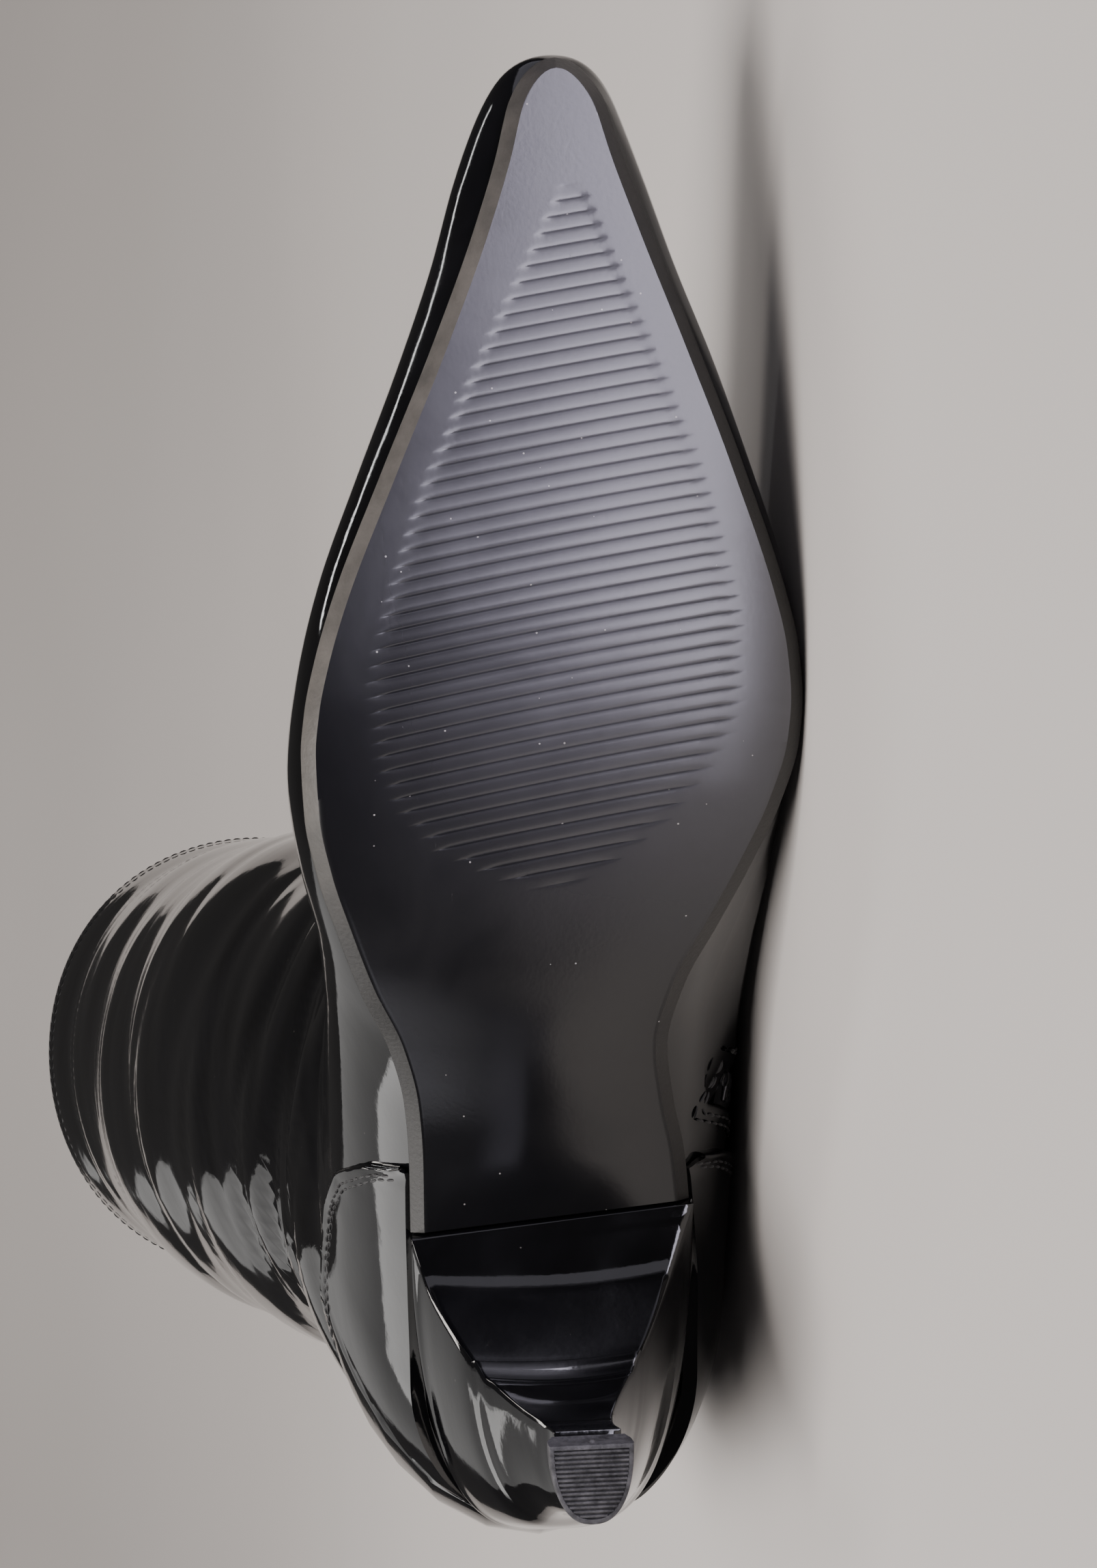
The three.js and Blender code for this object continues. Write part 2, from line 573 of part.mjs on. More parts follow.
// Frame on the zip at a row: place, way up the leg, way out of the wall
function zipFrame(s) {
  const t = zipShare(s);
  const p = upperPoint(s, t);
  const n = upperNormal(s, t);
  const q = upperPoint(s - 0.1, zipShare(s - 0.1));
  const v = p.clone().sub(q).normalize();
  const u = v.clone().cross(n).normalize();
  return { p, n: u.clone().cross(v).normalize(), v, u };
}
function block(frame, size, out, along, taper = 1, top = 0.82) {
  const [l, w, h] = size;
  const pts = [];
  for (const k of [0, 1]) {
    const shrink = k ? top : 1;
    for (const [a, b] of [[-1, -1], [1, -1], [1, 1], [-1, 1]]) {
      const width = w * (a < 0 ? taper : 1);
      pts.push(frame.p.clone().addScaledVector(frame.v, along + a * l / 2 * shrink)
        .addScaledVector(frame.u, b * width / 2 * shrink).addScaledVector(frame.n, out + k * h));
    }
  }
  const faces = [0, 2, 1, 0, 3, 2, 4, 5, 6, 4, 6, 7, 0, 1, 5, 0, 5, 4, 1, 2, 6, 1, 6, 5, 2, 3, 7, 2, 7, 6,
    3, 0, 4, 3, 4, 7];
  if (frame.v.clone().cross(frame.u).dot(frame.n) < 0) faces.reverse();
  return geometryOf(pts, faces);
}
const stopFrame = zipFrame(ZIP_ROW);
const topFrame = zipFrame(28.55);
const foot = ZIP_PROUD + GAP + 0.25;
const sliderBody = solidOf(block(topFrame, SLIDER, foot, 0, 0.62));
export const hinge = topFrame.p.clone().addScaledVector(topFrame.n, foot + SLIDER[2] + BAR + 0.4);
const pin = { ...topFrame, p: hinge };
const arch = solidOf(block(pin, [6.0, 2.0, BAR * 3 + 1.7], -BAR - 0.6, 0, 1, 1))
  .subtract(solidOf(block(pin, [4.2, 4.0, BAR * 2 + 0.7], -BAR - 0.4, 0, 1, 1)));
add('zip_slider', meshGeometry(sliderBody.add(arch)), 0x55555a, 0.3);

// Pull tab hanging out from the slider, with a window for the slider's arch
const down = new THREE.Vector3(0, Math.cos(TILT), Math.sin(TILT));
const hang = down.clone().addScaledVector(topFrame.u, -down.dot(topFrame.u)).normalize();
const tab = { p: hinge, v: hang, u: topFrame.u, n: hang.clone().cross(topFrame.u).normalize() };
const plate = solidOf(block(tab, PULL, -PULL[2] / 2, PULL[0] / 2 - BAR, 1, 0.94));
const window = solidOf(block(tab, [4.3, 3.4, 8], -4, 2.15 + BAR, 1, 1));
add('zip_pull', meshGeometry(plate.subtract(window)), 0x55555a, 0.3);

export const facts = {
  hinge: lay(hinge), axis: lay(topFrame.u).sub(lay(new THREE.Vector3())),
  normal: lay(topFrame.n).sub(lay(new THREE.Vector3())), way: lay(topFrame.v).sub(lay(new THREE.Vector3())),
  stop: lay(stopFrame.p)
};

export default boot;
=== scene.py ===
"""An over-the-knee boot in black patent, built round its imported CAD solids."""

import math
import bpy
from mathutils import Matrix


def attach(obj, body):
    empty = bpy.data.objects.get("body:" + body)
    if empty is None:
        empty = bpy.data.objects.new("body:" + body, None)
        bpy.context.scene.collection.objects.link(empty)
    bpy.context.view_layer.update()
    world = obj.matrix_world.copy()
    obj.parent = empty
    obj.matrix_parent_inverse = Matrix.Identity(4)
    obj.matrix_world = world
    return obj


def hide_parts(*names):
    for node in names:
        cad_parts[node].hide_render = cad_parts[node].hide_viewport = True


bl_info = {
    "name": "Over-the-knee patent boot",
    "version": (1, 0, 0),
    "blender": (4, 5, 0),
    "location": "3D View > Sidebar > Boot",
    "description": "Builds the boot's upper, counter, sole, heel, zip and seams, and the stage",
    "category": "Object",
}

import bpy
import numpy as np
from mathutils import Matrix, Vector

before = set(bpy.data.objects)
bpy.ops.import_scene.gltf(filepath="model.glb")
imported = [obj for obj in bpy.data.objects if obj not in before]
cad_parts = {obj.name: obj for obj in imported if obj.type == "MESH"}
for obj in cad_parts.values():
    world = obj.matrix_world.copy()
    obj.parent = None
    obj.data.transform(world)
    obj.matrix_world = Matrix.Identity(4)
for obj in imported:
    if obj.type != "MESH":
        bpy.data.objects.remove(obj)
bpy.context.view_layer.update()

# The boot's sizes in millimetres. It is drawn standing, x from heel to toe, y to the inner side and
# z up, and then laid on its inner side.
SOLE_TIP = 253.3
SOLE_THICK = 4.0
SEAT_THICK = 3.0
SOLE_BEVEL = 2.3
GAP = 0.3
COUNTER_THICK = 1.0
HEEL_BACK = 2.6
HEEL_HALF = 24.6
BREAST_X = 59.0
BREAST_SKEW = 0.09
ZIP_HALF = 3.3
FLOOR_Y = 36.4
FLOOR_Z = 8.0
TILT = math.radians(3.0)
FLOOR_SOFT = 1.3
HEEL_ROOM = 1.6
CENTRE_X = 111.5
CENTRE_Y = 310.7
BASE = FLOOR_Y * math.cos(TILT) + FLOOR_Z * math.sin(TILT)

# Rows of the upper where the heel seat ends and where the zip begins
HEEL_ROW = 19
ZIP_ROW = 14.6
HEM_ROW = 28.83
TOP_SHARE = 0.62
LEG_X = 62
TOE_X = 252.8
COUNTER_X = 69.5

# Share of the way round beyond which a place counts as the back seam
BACK_SHARE = 0.985

# Columns of the upper on the outer side, and on the inner side before the zip
OUTER_COLUMNS = 56
INNER_COLUMNS = 34

# Seams: thread, space between stitches, and rows of the counter from its edge
THREAD = 0.5
STITCH_GAP = 0.6
COUNTER_SEAMS = (3.4, 4.9)

# Middle of the top piece, and its ribs: first one, pitch and number
TIP_Y = -2.4
RIBS = (16.75, 0.735, 15)

# In metres: points nearer than this are merged, and none is lower than this
MERGE = 0.000002
LOWEST = 0.00005

# The photo's height in pixels and the height given to the camera's sensor
PHOTO_HIGH = 2296
SENSOR_HIGH = 36

# Underside of the sole: x, height
BOTTOM = [(0, 62.5), (20, 60.4), (40, 56), (57, 50.3), (75, 41.3), (90, 31.8), (105, 21.8), (120, 12.8),
          (135, 5.8), (150, 1.4), (163, 0), (188, 0), (202, 0.8), (225, 4), (245, 8.3), (256, 11)]

# Edge of the sole: x, outer side, inner side
EDGE = [(0, 27.0, 22.2), (30, 27.0, 22.2), (45, 27.3, 22.2), (58, 27.6, 21.4), (70, 27.8, 20.0),
        (80, 28.6, 17.6), (90, 31.2, 16.1), (100, 36.0, 18.4), (110, 39.8, 23.4), (120, 43.1, 28.4),
        (130, 45.1, 32.8), (140, 45.5, 35.6), (147, 44.8, 36.1), (155, 43.0, 35.5), (165, 39.8, 33.4),
        (185, 31.4, 27.2), (205, 22.7, 20.3), (225, 14.8, 13.4), (240, 10.0, 8.9), (254, 7.2, 6.2)]

# Sections of the upper from toe to collar: foot x, foot z, ridge x, ridge z, middle y, outer half,
# inner half, height of the widest point, fullness of the top, shift of the ridge to the inner side
ROWS = np.array([
    (252.8, 14.4, 252.8, 14.4, -0.6, 0.0, 0.0, 0.45, 0.00, 0),
    (252.4, 14.3, 254.7, 18.0, -0.6, 3.6, 3.6, 0.45, 0.00, 0),
    (250.9, 13.9, 254.0, 23.0, -0.7, 6.9, 6.8, 0.45, 0.05, 0),
    (247.6, 13.2, 251.0, 27.6, -0.8, 9.8, 9.6, 0.44, 0.08, 0),
    (241.5, 11.9, 245.0, 31.6, -1.1, 12.7, 12.5, 0.42, 0.10, 0),
    (232.0, 9.6, 235.0, 35.6, -1.5, 16.0, 16.2, 0.38, 0.10, 0.5),
    (218.0, 7.0, 220.0, 40.4, -2.0, 19.9, 21.2, 0.33, 0.08, 1.5),
    (202.0, 5.1, 204.0, 45.4, -2.7, 25.2, 27.6, 0.28, 0.06, 2.5),
    (184.0, 4.3, 186.5, 51.2, -3.4, 31.8, 34.0, 0.24, 0.04, 3.5),
    (167.0, 4.3, 170.5, 58.6, -4.1, 37.6, 39.8, 0.21, 0.02, 4.5),
    (150.0, 5.7, 157.5, 68.4, -4.8, 41.0, 42.6, 0.20, 0.00, 5.2),
    (134.0, 10.6, 147.0, 81.0, -5.2, 42.2, 42.8, 0.21, 0.00, 5.6),
    (118.0, 18.5, 138.8, 95.5, -5.4, 40.2, 41.4, 0.24, 0.00, 5.5),
    (102.0, 28.0, 132.6, 111.0, -5.4, 37.0, 40.4, 0.28, 0.02, 5.0),
    (85.0, 39.0, 128.4, 127.0, -5.2, 35.6, 39.9, 0.31, 0.04, 4.2),
    (66.0, 49.8, 125.9, 143.5, -5.0, 35.4, 39.6, 0.34, 0.05, 3.4),
    (44.0, 58.2, 124.4, 161.0, -4.8, 35.6, 39.4, 0.38, 0.06, 2.6),
    (22.0, 63.4, 123.8, 179.5, -4.6, 36.2, 39.6, 0.43, 0.06, 1.8),
    (8.5, 65.2, 123.6, 194.0, -4.5, 37.0, 40.0, 0.46, 0.06, 1.4),
    (3.6, 65.6, 123.5, 204.0, -4.5, 37.8, 40.4, 0.48, 0.06, 1.2),
    (-1.4, 86.0, 123.4, 220.0, -4.5, 38.8, 41.2, 0.49, 0.06, 0.8),
    (-0.2, 114.0, 123.6, 240.0, -4.5, 40.2, 42.2, 0.50, 0.06, 0.4),
    (5.2, 148.0, 124.2, 265.0, -4.5, 42.4, 43.6, 0.50, 0.05, 0),
    (7.6, 192.0, 124.8, 298.0, -4.5, 45.4, 45.4, 0.50, 0.05, 0),
    (4.4, 246.0, 125.0, 338.0, -4.5, 49.0, 47.2, 0.50, 0.05, 0),
    (-1.0, 308.0, 124.6, 386.0, -4.5, 52.6, 48.8, 0.50, 0.05, 0),
    (-6.4, 378.0, 123.0, 442.0, -4.5, 56.0, 50.0, 0.50, 0.05, 0),
    (-11.2, 456.0, 121.4, 504.0, -4.5, 59.6, 51.2, 0.50, 0.05, 0),
    (-15.6, 536.0, 120.0, 564.0, -4.5, 63.4, 52.4, 0.50, 0.05, 0),
    (-19.6, 612.0, 119.0, 620.0, -4.5, 67.0, 53.6, 0.50, 0.05, 0)])
LAST = len(ROWS) - 1.0001

# Lean of the leg to the outer side: z, y
LEAN = [(0, 0), (90, 0), (150, -3.0), (230, -11.0), (330, -20.5), (450, -29.0), (560, -36.0), (640, -41.0)]

# Broad slack folds round the leg: height at the middle, rise towards the front, breadth, depth
FOLDS = [(130, 0.35, 11, 2.2), (174, -0.3, 14, 2.4), (228, 0.42, 17, 1.8), (302, -0.34, 22, 1.7),
         (394, 0.4, 26, 1.7), (488, -0.28, 28, 1.4), (566, 0.16, 21, 1.2)]

# Narrow creases: height, rise to the front, breadth, depth, place round the leg
# from -1 at the outer back by 0 at the front to 1 at the inner back, and reach round it
CREASES = [(104, 0.62, 3.2, 0.55, -0.42, 0.20), (112, 0.55, 4.0, 0.9, -0.12, 0.40),
           (121, 0.50, 3.4, 0.8, 0.22, 0.24), (127, 0.48, 4.5, 1.1, -0.30, 0.40),
           (139, 0.35, 4.0, 0.8, 0.05, 0.45), (146, -0.50, 4.6, 1.1, -0.78, 0.26),
           (156, -0.42, 5.0, 0.9, 0.80, 0.16), (163, 0.25, 5.0, 1.0, -0.35, 0.40),
           (181, -0.35, 5.5, 1.2, -0.78, 0.30), (196, 0.20, 6.0, 0.9, -0.20, 0.45),
           (214, -0.30, 6.5, 1.1, -0.70, 0.35), (249, 0.30, 7.5, 1.1, -0.45, 0.40),
           (276, -0.28, 8.0, 0.9, -0.80, 0.30), (331, 0.25, 9.0, 0.6, -0.25, 0.40),
           (365, -0.25, 9.0, 0.6, -0.65, 0.35), (428, 0.22, 12.0, 0.6, -0.35, 0.40),
           (462, -0.20, 12.0, 0.5, -0.75, 0.35), (528, 0.18, 12.0, 0.5, -0.45, 0.45)]

# Line of the zip seen from the side: z, x
ZIP_LINE = [(40, 82), (60, 79.5), (80, 74.5), (110, 63), (150, 45), (200, 27), (260, 15), (340, 6),
            (430, 0), (520, -5.5), (640, -11.5)]

# Top edge of the counter seen from the side: x, z
COUNTER_LINE = [(-30, 133.8), (-4, 132), (10, 128), (24, 121), (38, 113), (50, 104), (60, 92), (66, 78),
                (69, 60), (COUNTER_X, 20)]

# Heel block from the seat down: z, breast x, back x, half width, middle y
HEEL = [(49.6, 58.6, 2.6, 24.6, -3.0), (47.5, 54.4, 3.4, 23.2, -3.3), (43.5, 48.6, 4.8, 21.0, -3.8),
        (38.5, 43.4, 6.8, 18.2, -4.2), (33, 38.9, 9.0, 15.2, -4.5), (27.5, 35.6, 11.2, 12.3, -4.6),
        (22, 33.2, 12.8, 9.7, -4.5), (16.5, 31.5, 14.0, 7.5, -4.2), (11.5, 30.4, 14.8, 5.9, -3.6),
        (8, 29.9, 15.2, 5.3, -3.0), (5.0, 29.7, 15.3, 5.5, -2.5)]

# Fold of the cover across the breast: height, how far it stands out
BREAST_FOLD = [(25.5, 0.0), (28.2, -0.5), (30.8, 0.55), (31.3, 0.5), (31.7, -0.3), (32.6, 0.0)]

# Almond of the tread: x, outer end, inner end of the grooves
TREAD = [(117.6, -8.5, -1.5), (120, -12.8, 2.2), (124, -21.9, 7.4), (130, -28.1, 14.3), (137, -31.8, 19.2),
         (145, -32.9, 23.6), (150, -32.9, 24.2), (159, -31.4, 24.5), (168, -28.8, 22.8), (178, -26.0, 20.9),
         (190.4, -20.6, 16.8), (202.7, -14.9, 12.5), (215.3, -8.5, 8.0), (226, -3.2, 4.2), (231, -0.9, 2.6)]


def clamp(v, low=0.0, high=1.0):
    return np.minimum(np.maximum(v, low), high)


def smooth(v):
    v = clamp(v)
    return v * v * (3 - 2 * v)


def nose(u):
    """Quarter circle that closes an end."""
    return np.sqrt(np.maximum(0, 1 - (1 - np.minimum(u, 1)) ** 2))


def read(table, x, column=1):
    """Reads one column of a table at x along a smooth line that never overshoots."""
    data = np.array(table, float)
    a = data[:, 0]
    v = data[:, column]
    d = np.diff(v) / np.diff(a)
    m = np.zeros(len(v))
    same = d[:-1] * d[1:] > 0
    m[1:-1][same] = 2 * d[:-1][same] * d[1:][same] / (d[:-1][same] + d[1:][same])
    x = np.asarray(x, float)
    k = np.clip(np.searchsorted(a, x, side="left") - 1, 0, len(a) - 2)
    h = a[k + 1] - a[k]
    t = clamp((x - a[k]) / h)
    return (v[k] * (1 + 2 * t) * (1 - t) ** 2 + h * m[k] * t * (1 - t) ** 2
            + v[k + 1] * t * t * (3 - 2 * t) - h * m[k + 1] * t * t * (1 - t))


def row_at(s):
    """One section of the upper between the rows of the table."""
    k = int(min(max(math.floor(s), 0), len(ROWS) - 2))
    t = s - k
    a, b, c, d = ROWS[max(0, k - 1)], ROWS[k], ROWS[k + 1], ROWS[min(len(ROWS) - 1, k + 2)]
    return (b * (1 + 2 * t) * (1 - t) ** 2 + (c - a) / 2 * t * (1 - t) ** 2
            + c * t * t * (3 - 2 * t) - (d - b) / 2 * t * t * (1 - t))


def bottom_z(x):
    """Height of the sole's underside."""
    return read(BOTTOM, x)


def seat_z(x):
    """Height of the sole's top face."""
    return bottom_z(x) + SEAT_THICK + (SOLE_THICK - SEAT_THICK) * smooth((x - 40) / 70)


def edge_at(x):
    """Middle and half width of the sole."""
    outer = read(EDGE, x, 1)
    inner = read(EDGE, x, 2)
    tip = nose(np.maximum(0, SOLE_TIP - x) / 9)
    half = (inner + outer) / 2 * tip * nose(np.maximum(0, x - HEEL_BACK) / 27)
    return (inner - outer) / 2, half


def section(s, t):
    """Points of the upper on row s. t runs from -1 at the outer foot over 0 at the ridge to 1."""
    t = np.asarray(t, float)
    bx, bz, tx, tz, mid, outer, inner, wide, full, shift = row_at(s)
    if s < HEEL_ROW:
        bz = float(seat_z(bx)) + GAP
    side = np.where(t < 0, -1.0, 1.0)
    a = np.abs(t)
    half = np.where(side < 0, outer, inner)
    foot = np.zeros_like(t)
    if s < HEEL_ROW and bx > HEEL_BACK:
        middle, edge = edge_at(bx)
        foot = clamp(edge + side * (middle - mid) - 0.5, 0, half * 0.985)
        foot = foot * (nose(clamp((TOE_X - bx) / 9)) if bx > 245 else 1)
        foot = foot * (smooth((HEEL_ROW - s) / 0.9) * 0.15 + 0.85)
        foot = foot * (nose(HEEL_ROW - s) if s > HEEL_ROW - 1 else 1)
    share = np.divide(foot, half, out=np.zeros_like(t), where=half > 0)
    g = (1 - np.minimum(a, TOP_SHARE) / TOP_SHARE) * math.pi / 2
    b0 = np.arcsin(clamp(share, 0, 0.99))
    b = math.pi / 2 + np.maximum(a - TOP_SHARE, 0) / (1 - TOP_SHARE) * (b0 - math.pi / 2)
    top = a <= TOP_SHARE
    y = np.where(top, half * np.cos(g) * (1 + full * np.sin(g) ** 2),
                 half * np.sin(b) * (1 + full * np.cos(b) ** 2 * (1 - share)))
    r = np.where(top, wide + (1 - wide) * np.sin(g), wide - wide / np.cos(b0) * np.cos(b))
    w = clamp((r - wide) / (1 - wide))
    x = bx + (tx - bx) * r
    z = bz + (tz - bz) * r
    dip = 0
    for at, rise, breadth, depth in FOLDS:
        dip = dip + depth / 50 * np.exp(-(((z - at - rise * (x - LEG_X)) / breadth) ** 2))
    dip = dip * smooth((z - 96) / 24)
    r = 0.5 + (r - 0.5) * (1 - dip)
    x = bx + (tx - bx) * r
    z = bz + (tz - bz) * r
    y = mid + side * y * (1 - dip) + shift * w * w + read(LEAN, z)
    room = smooth((104 - x) / 16) * smooth((195 - z) / 35)
    limit = FLOOR_Y - math.tan(TILT) * (z - FLOOR_Z) - HEEL_ROOM * room
    y = limit - FLOOR_SOFT * np.logaddexp(0, (limit - y) / FLOOR_SOFT)
    return np.stack([x, y, z], axis=1)


def outward(s, t):
    """Directions that point out of the upper at the same places."""
    u = np.clip(np.asarray(t, float), -BACK_SHARE, BACK_SHARE)
    low = max(0.05, s - 0.02)
    high = min(LAST, s + 0.02)
    m = (low + high) / 2
    n = np.cross(section(m, u + 0.012) - section(m, u - 0.012), section(high, u) - section(low, u))
    n /= np.linalg.norm(n, axis=1, keepdims=True) + 1e-12
    if s >= HEEL_ROW:
        back = np.abs(t) > BACK_SHARE
        n[back, 1] = 0
        n[back] /= np.linalg.norm(n[back], axis=1, keepdims=True) + 1e-12
    return n


def crease_at(p, t):
    """Depth of the listed creases at points of the leg."""
    total = 0
    for at, rise, breadth, depth, place, reach in CREASES:
        near = np.exp(-(((p[:, 2] - at - rise * (p[:, 0] - LEG_X)) / breadth) ** 2))
        total = total + depth * near * np.exp(-(((t - place) / reach) ** 4))
    return total


def zip_rows():
    """For a run of rows: share t of the zip's line, and shares of t for one millimetre across it."""
    rows = np.linspace(13.9, LAST, 190)
    look = np.linspace(0.05, 0.97, 400)
    shares = []
    for s in rows:
        p = section(s, look)
        off = p[:, 0] - read(ZIP_LINE, p[:, 2])
        k = int(np.argmax(off <= 0)) or len(off) - 1
        shares.append(look[k - 1] + (look[k] - look[k - 1]) * off[k - 1] / (off[k - 1] - off[k]))
    line = np.array([section(s, [t])[0] for s, t in zip(rows, shares)])
    run = np.gradient(line, axis=0)
    spread = []
    for s, t, v in zip(rows, shares, run):
        e = section(s, [t - 0.01, t + 0.01])
        u = e[1] - e[0]
        lean = math.sqrt(max(0.1, 1 - (u @ v / np.linalg.norm(u) / np.linalg.norm(v)) ** 2))
        spread.append(0.02 / np.linalg.norm(u) / lean)
    return rows, np.array(shares), np.array(spread)


ZIP_AT = zip_rows()


def zip_share(s):
    return float(np.interp(s, ZIP_AT[0], ZIP_AT[1]))


def zip_spread(s, distance):
    return np.asarray(distance, float) * float(np.interp(s, ZIP_AT[0], ZIP_AT[2]))


def lay(points):
    """Standing millimetres to metres in the frame, with the boot on its inner side."""
    p = np.atleast_2d(np.asarray(points, float))
    return np.stack([p[:, 0] - CENTRE_X,
                     p[:, 2] * math.cos(TILT) - p[:, 1] * math.sin(TILT) - CENTRE_Y,
                     BASE - p[:, 1] * math.cos(TILT) - p[:, 2] * math.sin(TILT)], axis=1) / 1000


def on_floor(points):
    """Keeps what lies on the floor from going through it."""
    points[:, 2] = np.maximum(points[:, 2], LOWEST)
    return points


def lay_way(v):
    """The same turn for a direction."""
    return Vector((v[0], v[2] * math.cos(TILT) - v[1] * math.sin(TILT),
                   -v[1] * math.cos(TILT) - v[2] * math.sin(TILT)))


def srgb(code):
    """An sRGB hex colour as the linear red, green and blue of Blender's sockets."""
    out = []
    for i in (1, 3, 5):
        c = int(code[i:i + 2], 16) / 255
        out.append(c / 12.92 if c <= 0.04045 else ((c + 0.055) / 1.055) ** 2.4)
    return out


def rgba(colour):
    """A hex colour or a panel colour with its alpha."""
    return (*(srgb(colour) if isinstance(colour, str) else colour), 1.0)


def per_mm(size):
    """Scale of a pattern in metres whose cells are size millimetres across."""
    return 1000 / size


def feed(tree, node, inputs):
    """Gives each socket, by name or number, a value or an output to link."""
    for socket, value in inputs.items():
        if isinstance(value, bpy.types.NodeSocket):
            tree.links.new(value, node.inputs[socket])
        else:
            node.inputs[socket].default_value = value


def add_node(tree, kind, inputs=None, **fields):
    """Adds a node with its fields and inputs."""
    node = tree.nodes.new(kind)
    for name, value in fields.items():
        setattr(node, name, value)
    feed(tree, node, inputs or {})
    return node


def surface(look):
    """Turns a look, which gives the shader's inputs, into a material that is made once by its name."""
    def material(name, *settings):
        mat = bpy.data.materials.get(name)
        if mat is None:
            mat = bpy.data.materials.new(name)
            mat.use_nodes = True
            tree = mat.node_tree
            place = add_node(tree, "ShaderNodeTexCoord").outputs["Object"]
            feed(tree, tree.nodes["Principled BSDF"], look(tree, place, *settings))
        return mat
    return material


def two_tone(tree, place, size, low, high, **noise):
    """Two colours clouded into each other, size millimetres across: the colour and its noise."""
    cloud = add_node(tree, "ShaderNodeTexNoise", {"Vector": place, "Scale": per_mm(size), **noise})
    share = cloud.outputs["Fac"]
    both = add_node(tree, "ShaderNodeMix", {0: share, 6: rgba(low), 7: rgba(high)}, data_type="RGBA")
    return both.outputs[2], share


def dusted(tree, place, colour, size, radius, share, strength, dust):
    """Dust over a colour: pale grains on some cells of a pattern whose cells are size millimetres."""
    cell = add_node(tree, "ShaderNodeTexVoronoi", {"Vector": place, "Scale": per_mm(size)})
    part = add_node(tree, "ShaderNodeSeparateColor", {"Color": cell.outputs["Color"]})
    near, some = (add_node(tree, "ShaderNodeMath", {0: value, 1: most}, operation="LESS_THAN").outputs[0]
                  for value, most in ((cell.outputs["Distance"], radius), (part.outputs[0], share)))
    grain = add_node(tree, "ShaderNodeMath", {0: near, 1: some}, operation="MULTIPLY")
    faint = add_node(tree, "ShaderNodeMath", {0: grain.outputs[0], 1: strength}, operation="MULTIPLY")
    return add_node(tree, "ShaderNodeMix", {0: faint.outputs[0], 6: colour, 7: rgba(dust)},
                    data_type="RGBA").outputs[2]


@surface
def patent_leather(tree, place, finish):
    """Leather under a poured film of clear lacquer: near black, mirror bright, with a faint orange
    peel, slow waves in its reflections, some dust and rubbed hazy patches."""
    wave = add_node(tree, "ShaderNodeTexNoise", {"Vector": place, "Scale": per_mm(26), "Detail": 2.0})
    peel = add_node(tree, "ShaderNodeTexNoise", {"Vector": place, "Scale": per_mm(1.6), "Detail": 2.0})
    haze = add_node(tree, "ShaderNodeTexNoise", {"Vector": place, "Scale": per_mm(45), "Detail": 4.0,
                                                 "Roughness": 0.65, "Distortion": 0.6}).outputs["Fac"]
    tint = add_node(tree, "ShaderNodeMapRange", {"Value": haze, "From Min": 0.35, "From Max": 0.8})
    base = add_node(tree, "ShaderNodeMix", {0: tint.outputs["Result"], 6: rgba(finish.patent),
                                            7: rgba("#121215")}, data_type="RGBA")
    rough = add_node(tree, "ShaderNodeMapRange", {"Value": haze, "From Min": 0.4, "From Max": 0.8,
                                                  "To Min": finish.gloss, "To Max": finish.gloss + 0.09})
    slow = add_node(tree, "ShaderNodeBump", {"Height": wave.outputs["Fac"], "Strength": 0.35,
                                             "Distance": 0.0012})
    fine = add_node(tree, "ShaderNodeBump", {"Height": peel.outputs["Fac"], "Strength": 0.08,
                                             "Distance": 0.0002, "Normal": slow.outputs["Normal"]})
    return {"Base Color": dusted(tree, place, base.outputs[2], 3.4, 0.045, 0.16, 0.3, "#8c8884"),
            "Roughness": rough.outputs["Result"], "Coat Weight": 0.5, "Coat Roughness": 0.03,
            "Normal": fine.outputs["Normal"]}


@surface
def brushed_lining(tree, place):
    """Knitted polyester bonded to the leather: matte charcoal with a short raised nap."""
    nap = add_node(tree, "ShaderNodeTexNoise", {"Vector": place, "Scale": per_mm(0.9), "Detail": 4.0,
                                                "Roughness": 0.7})
    loop = add_node(tree, "ShaderNodeTexWave", {"Vector": place, "Scale": per_mm(7), "Distortion": 1.5,
                                                "Detail": 1.0})
    ridge = add_node(tree, "ShaderNodeBump", {"Height": loop.outputs["Fac"], "Strength": 0.3,
                                              "Distance": 0.0002})
    fuzz = add_node(tree, "ShaderNodeBump", {"Height": nap.outputs["Fac"], "Strength": 0.5,
                                             "Distance": 0.0003, "Normal": ridge.outputs["Normal"]})
    return {"Base Color": two_tone(tree, place, 35, "#1b1a1c", "#2d2a2b", Detail=3.0)[0],
            "Roughness": 0.9, "Sheen Weight": 0.3, "Sheen Roughness": 0.5,
            "Normal": fuzz.outputs["Normal"]}


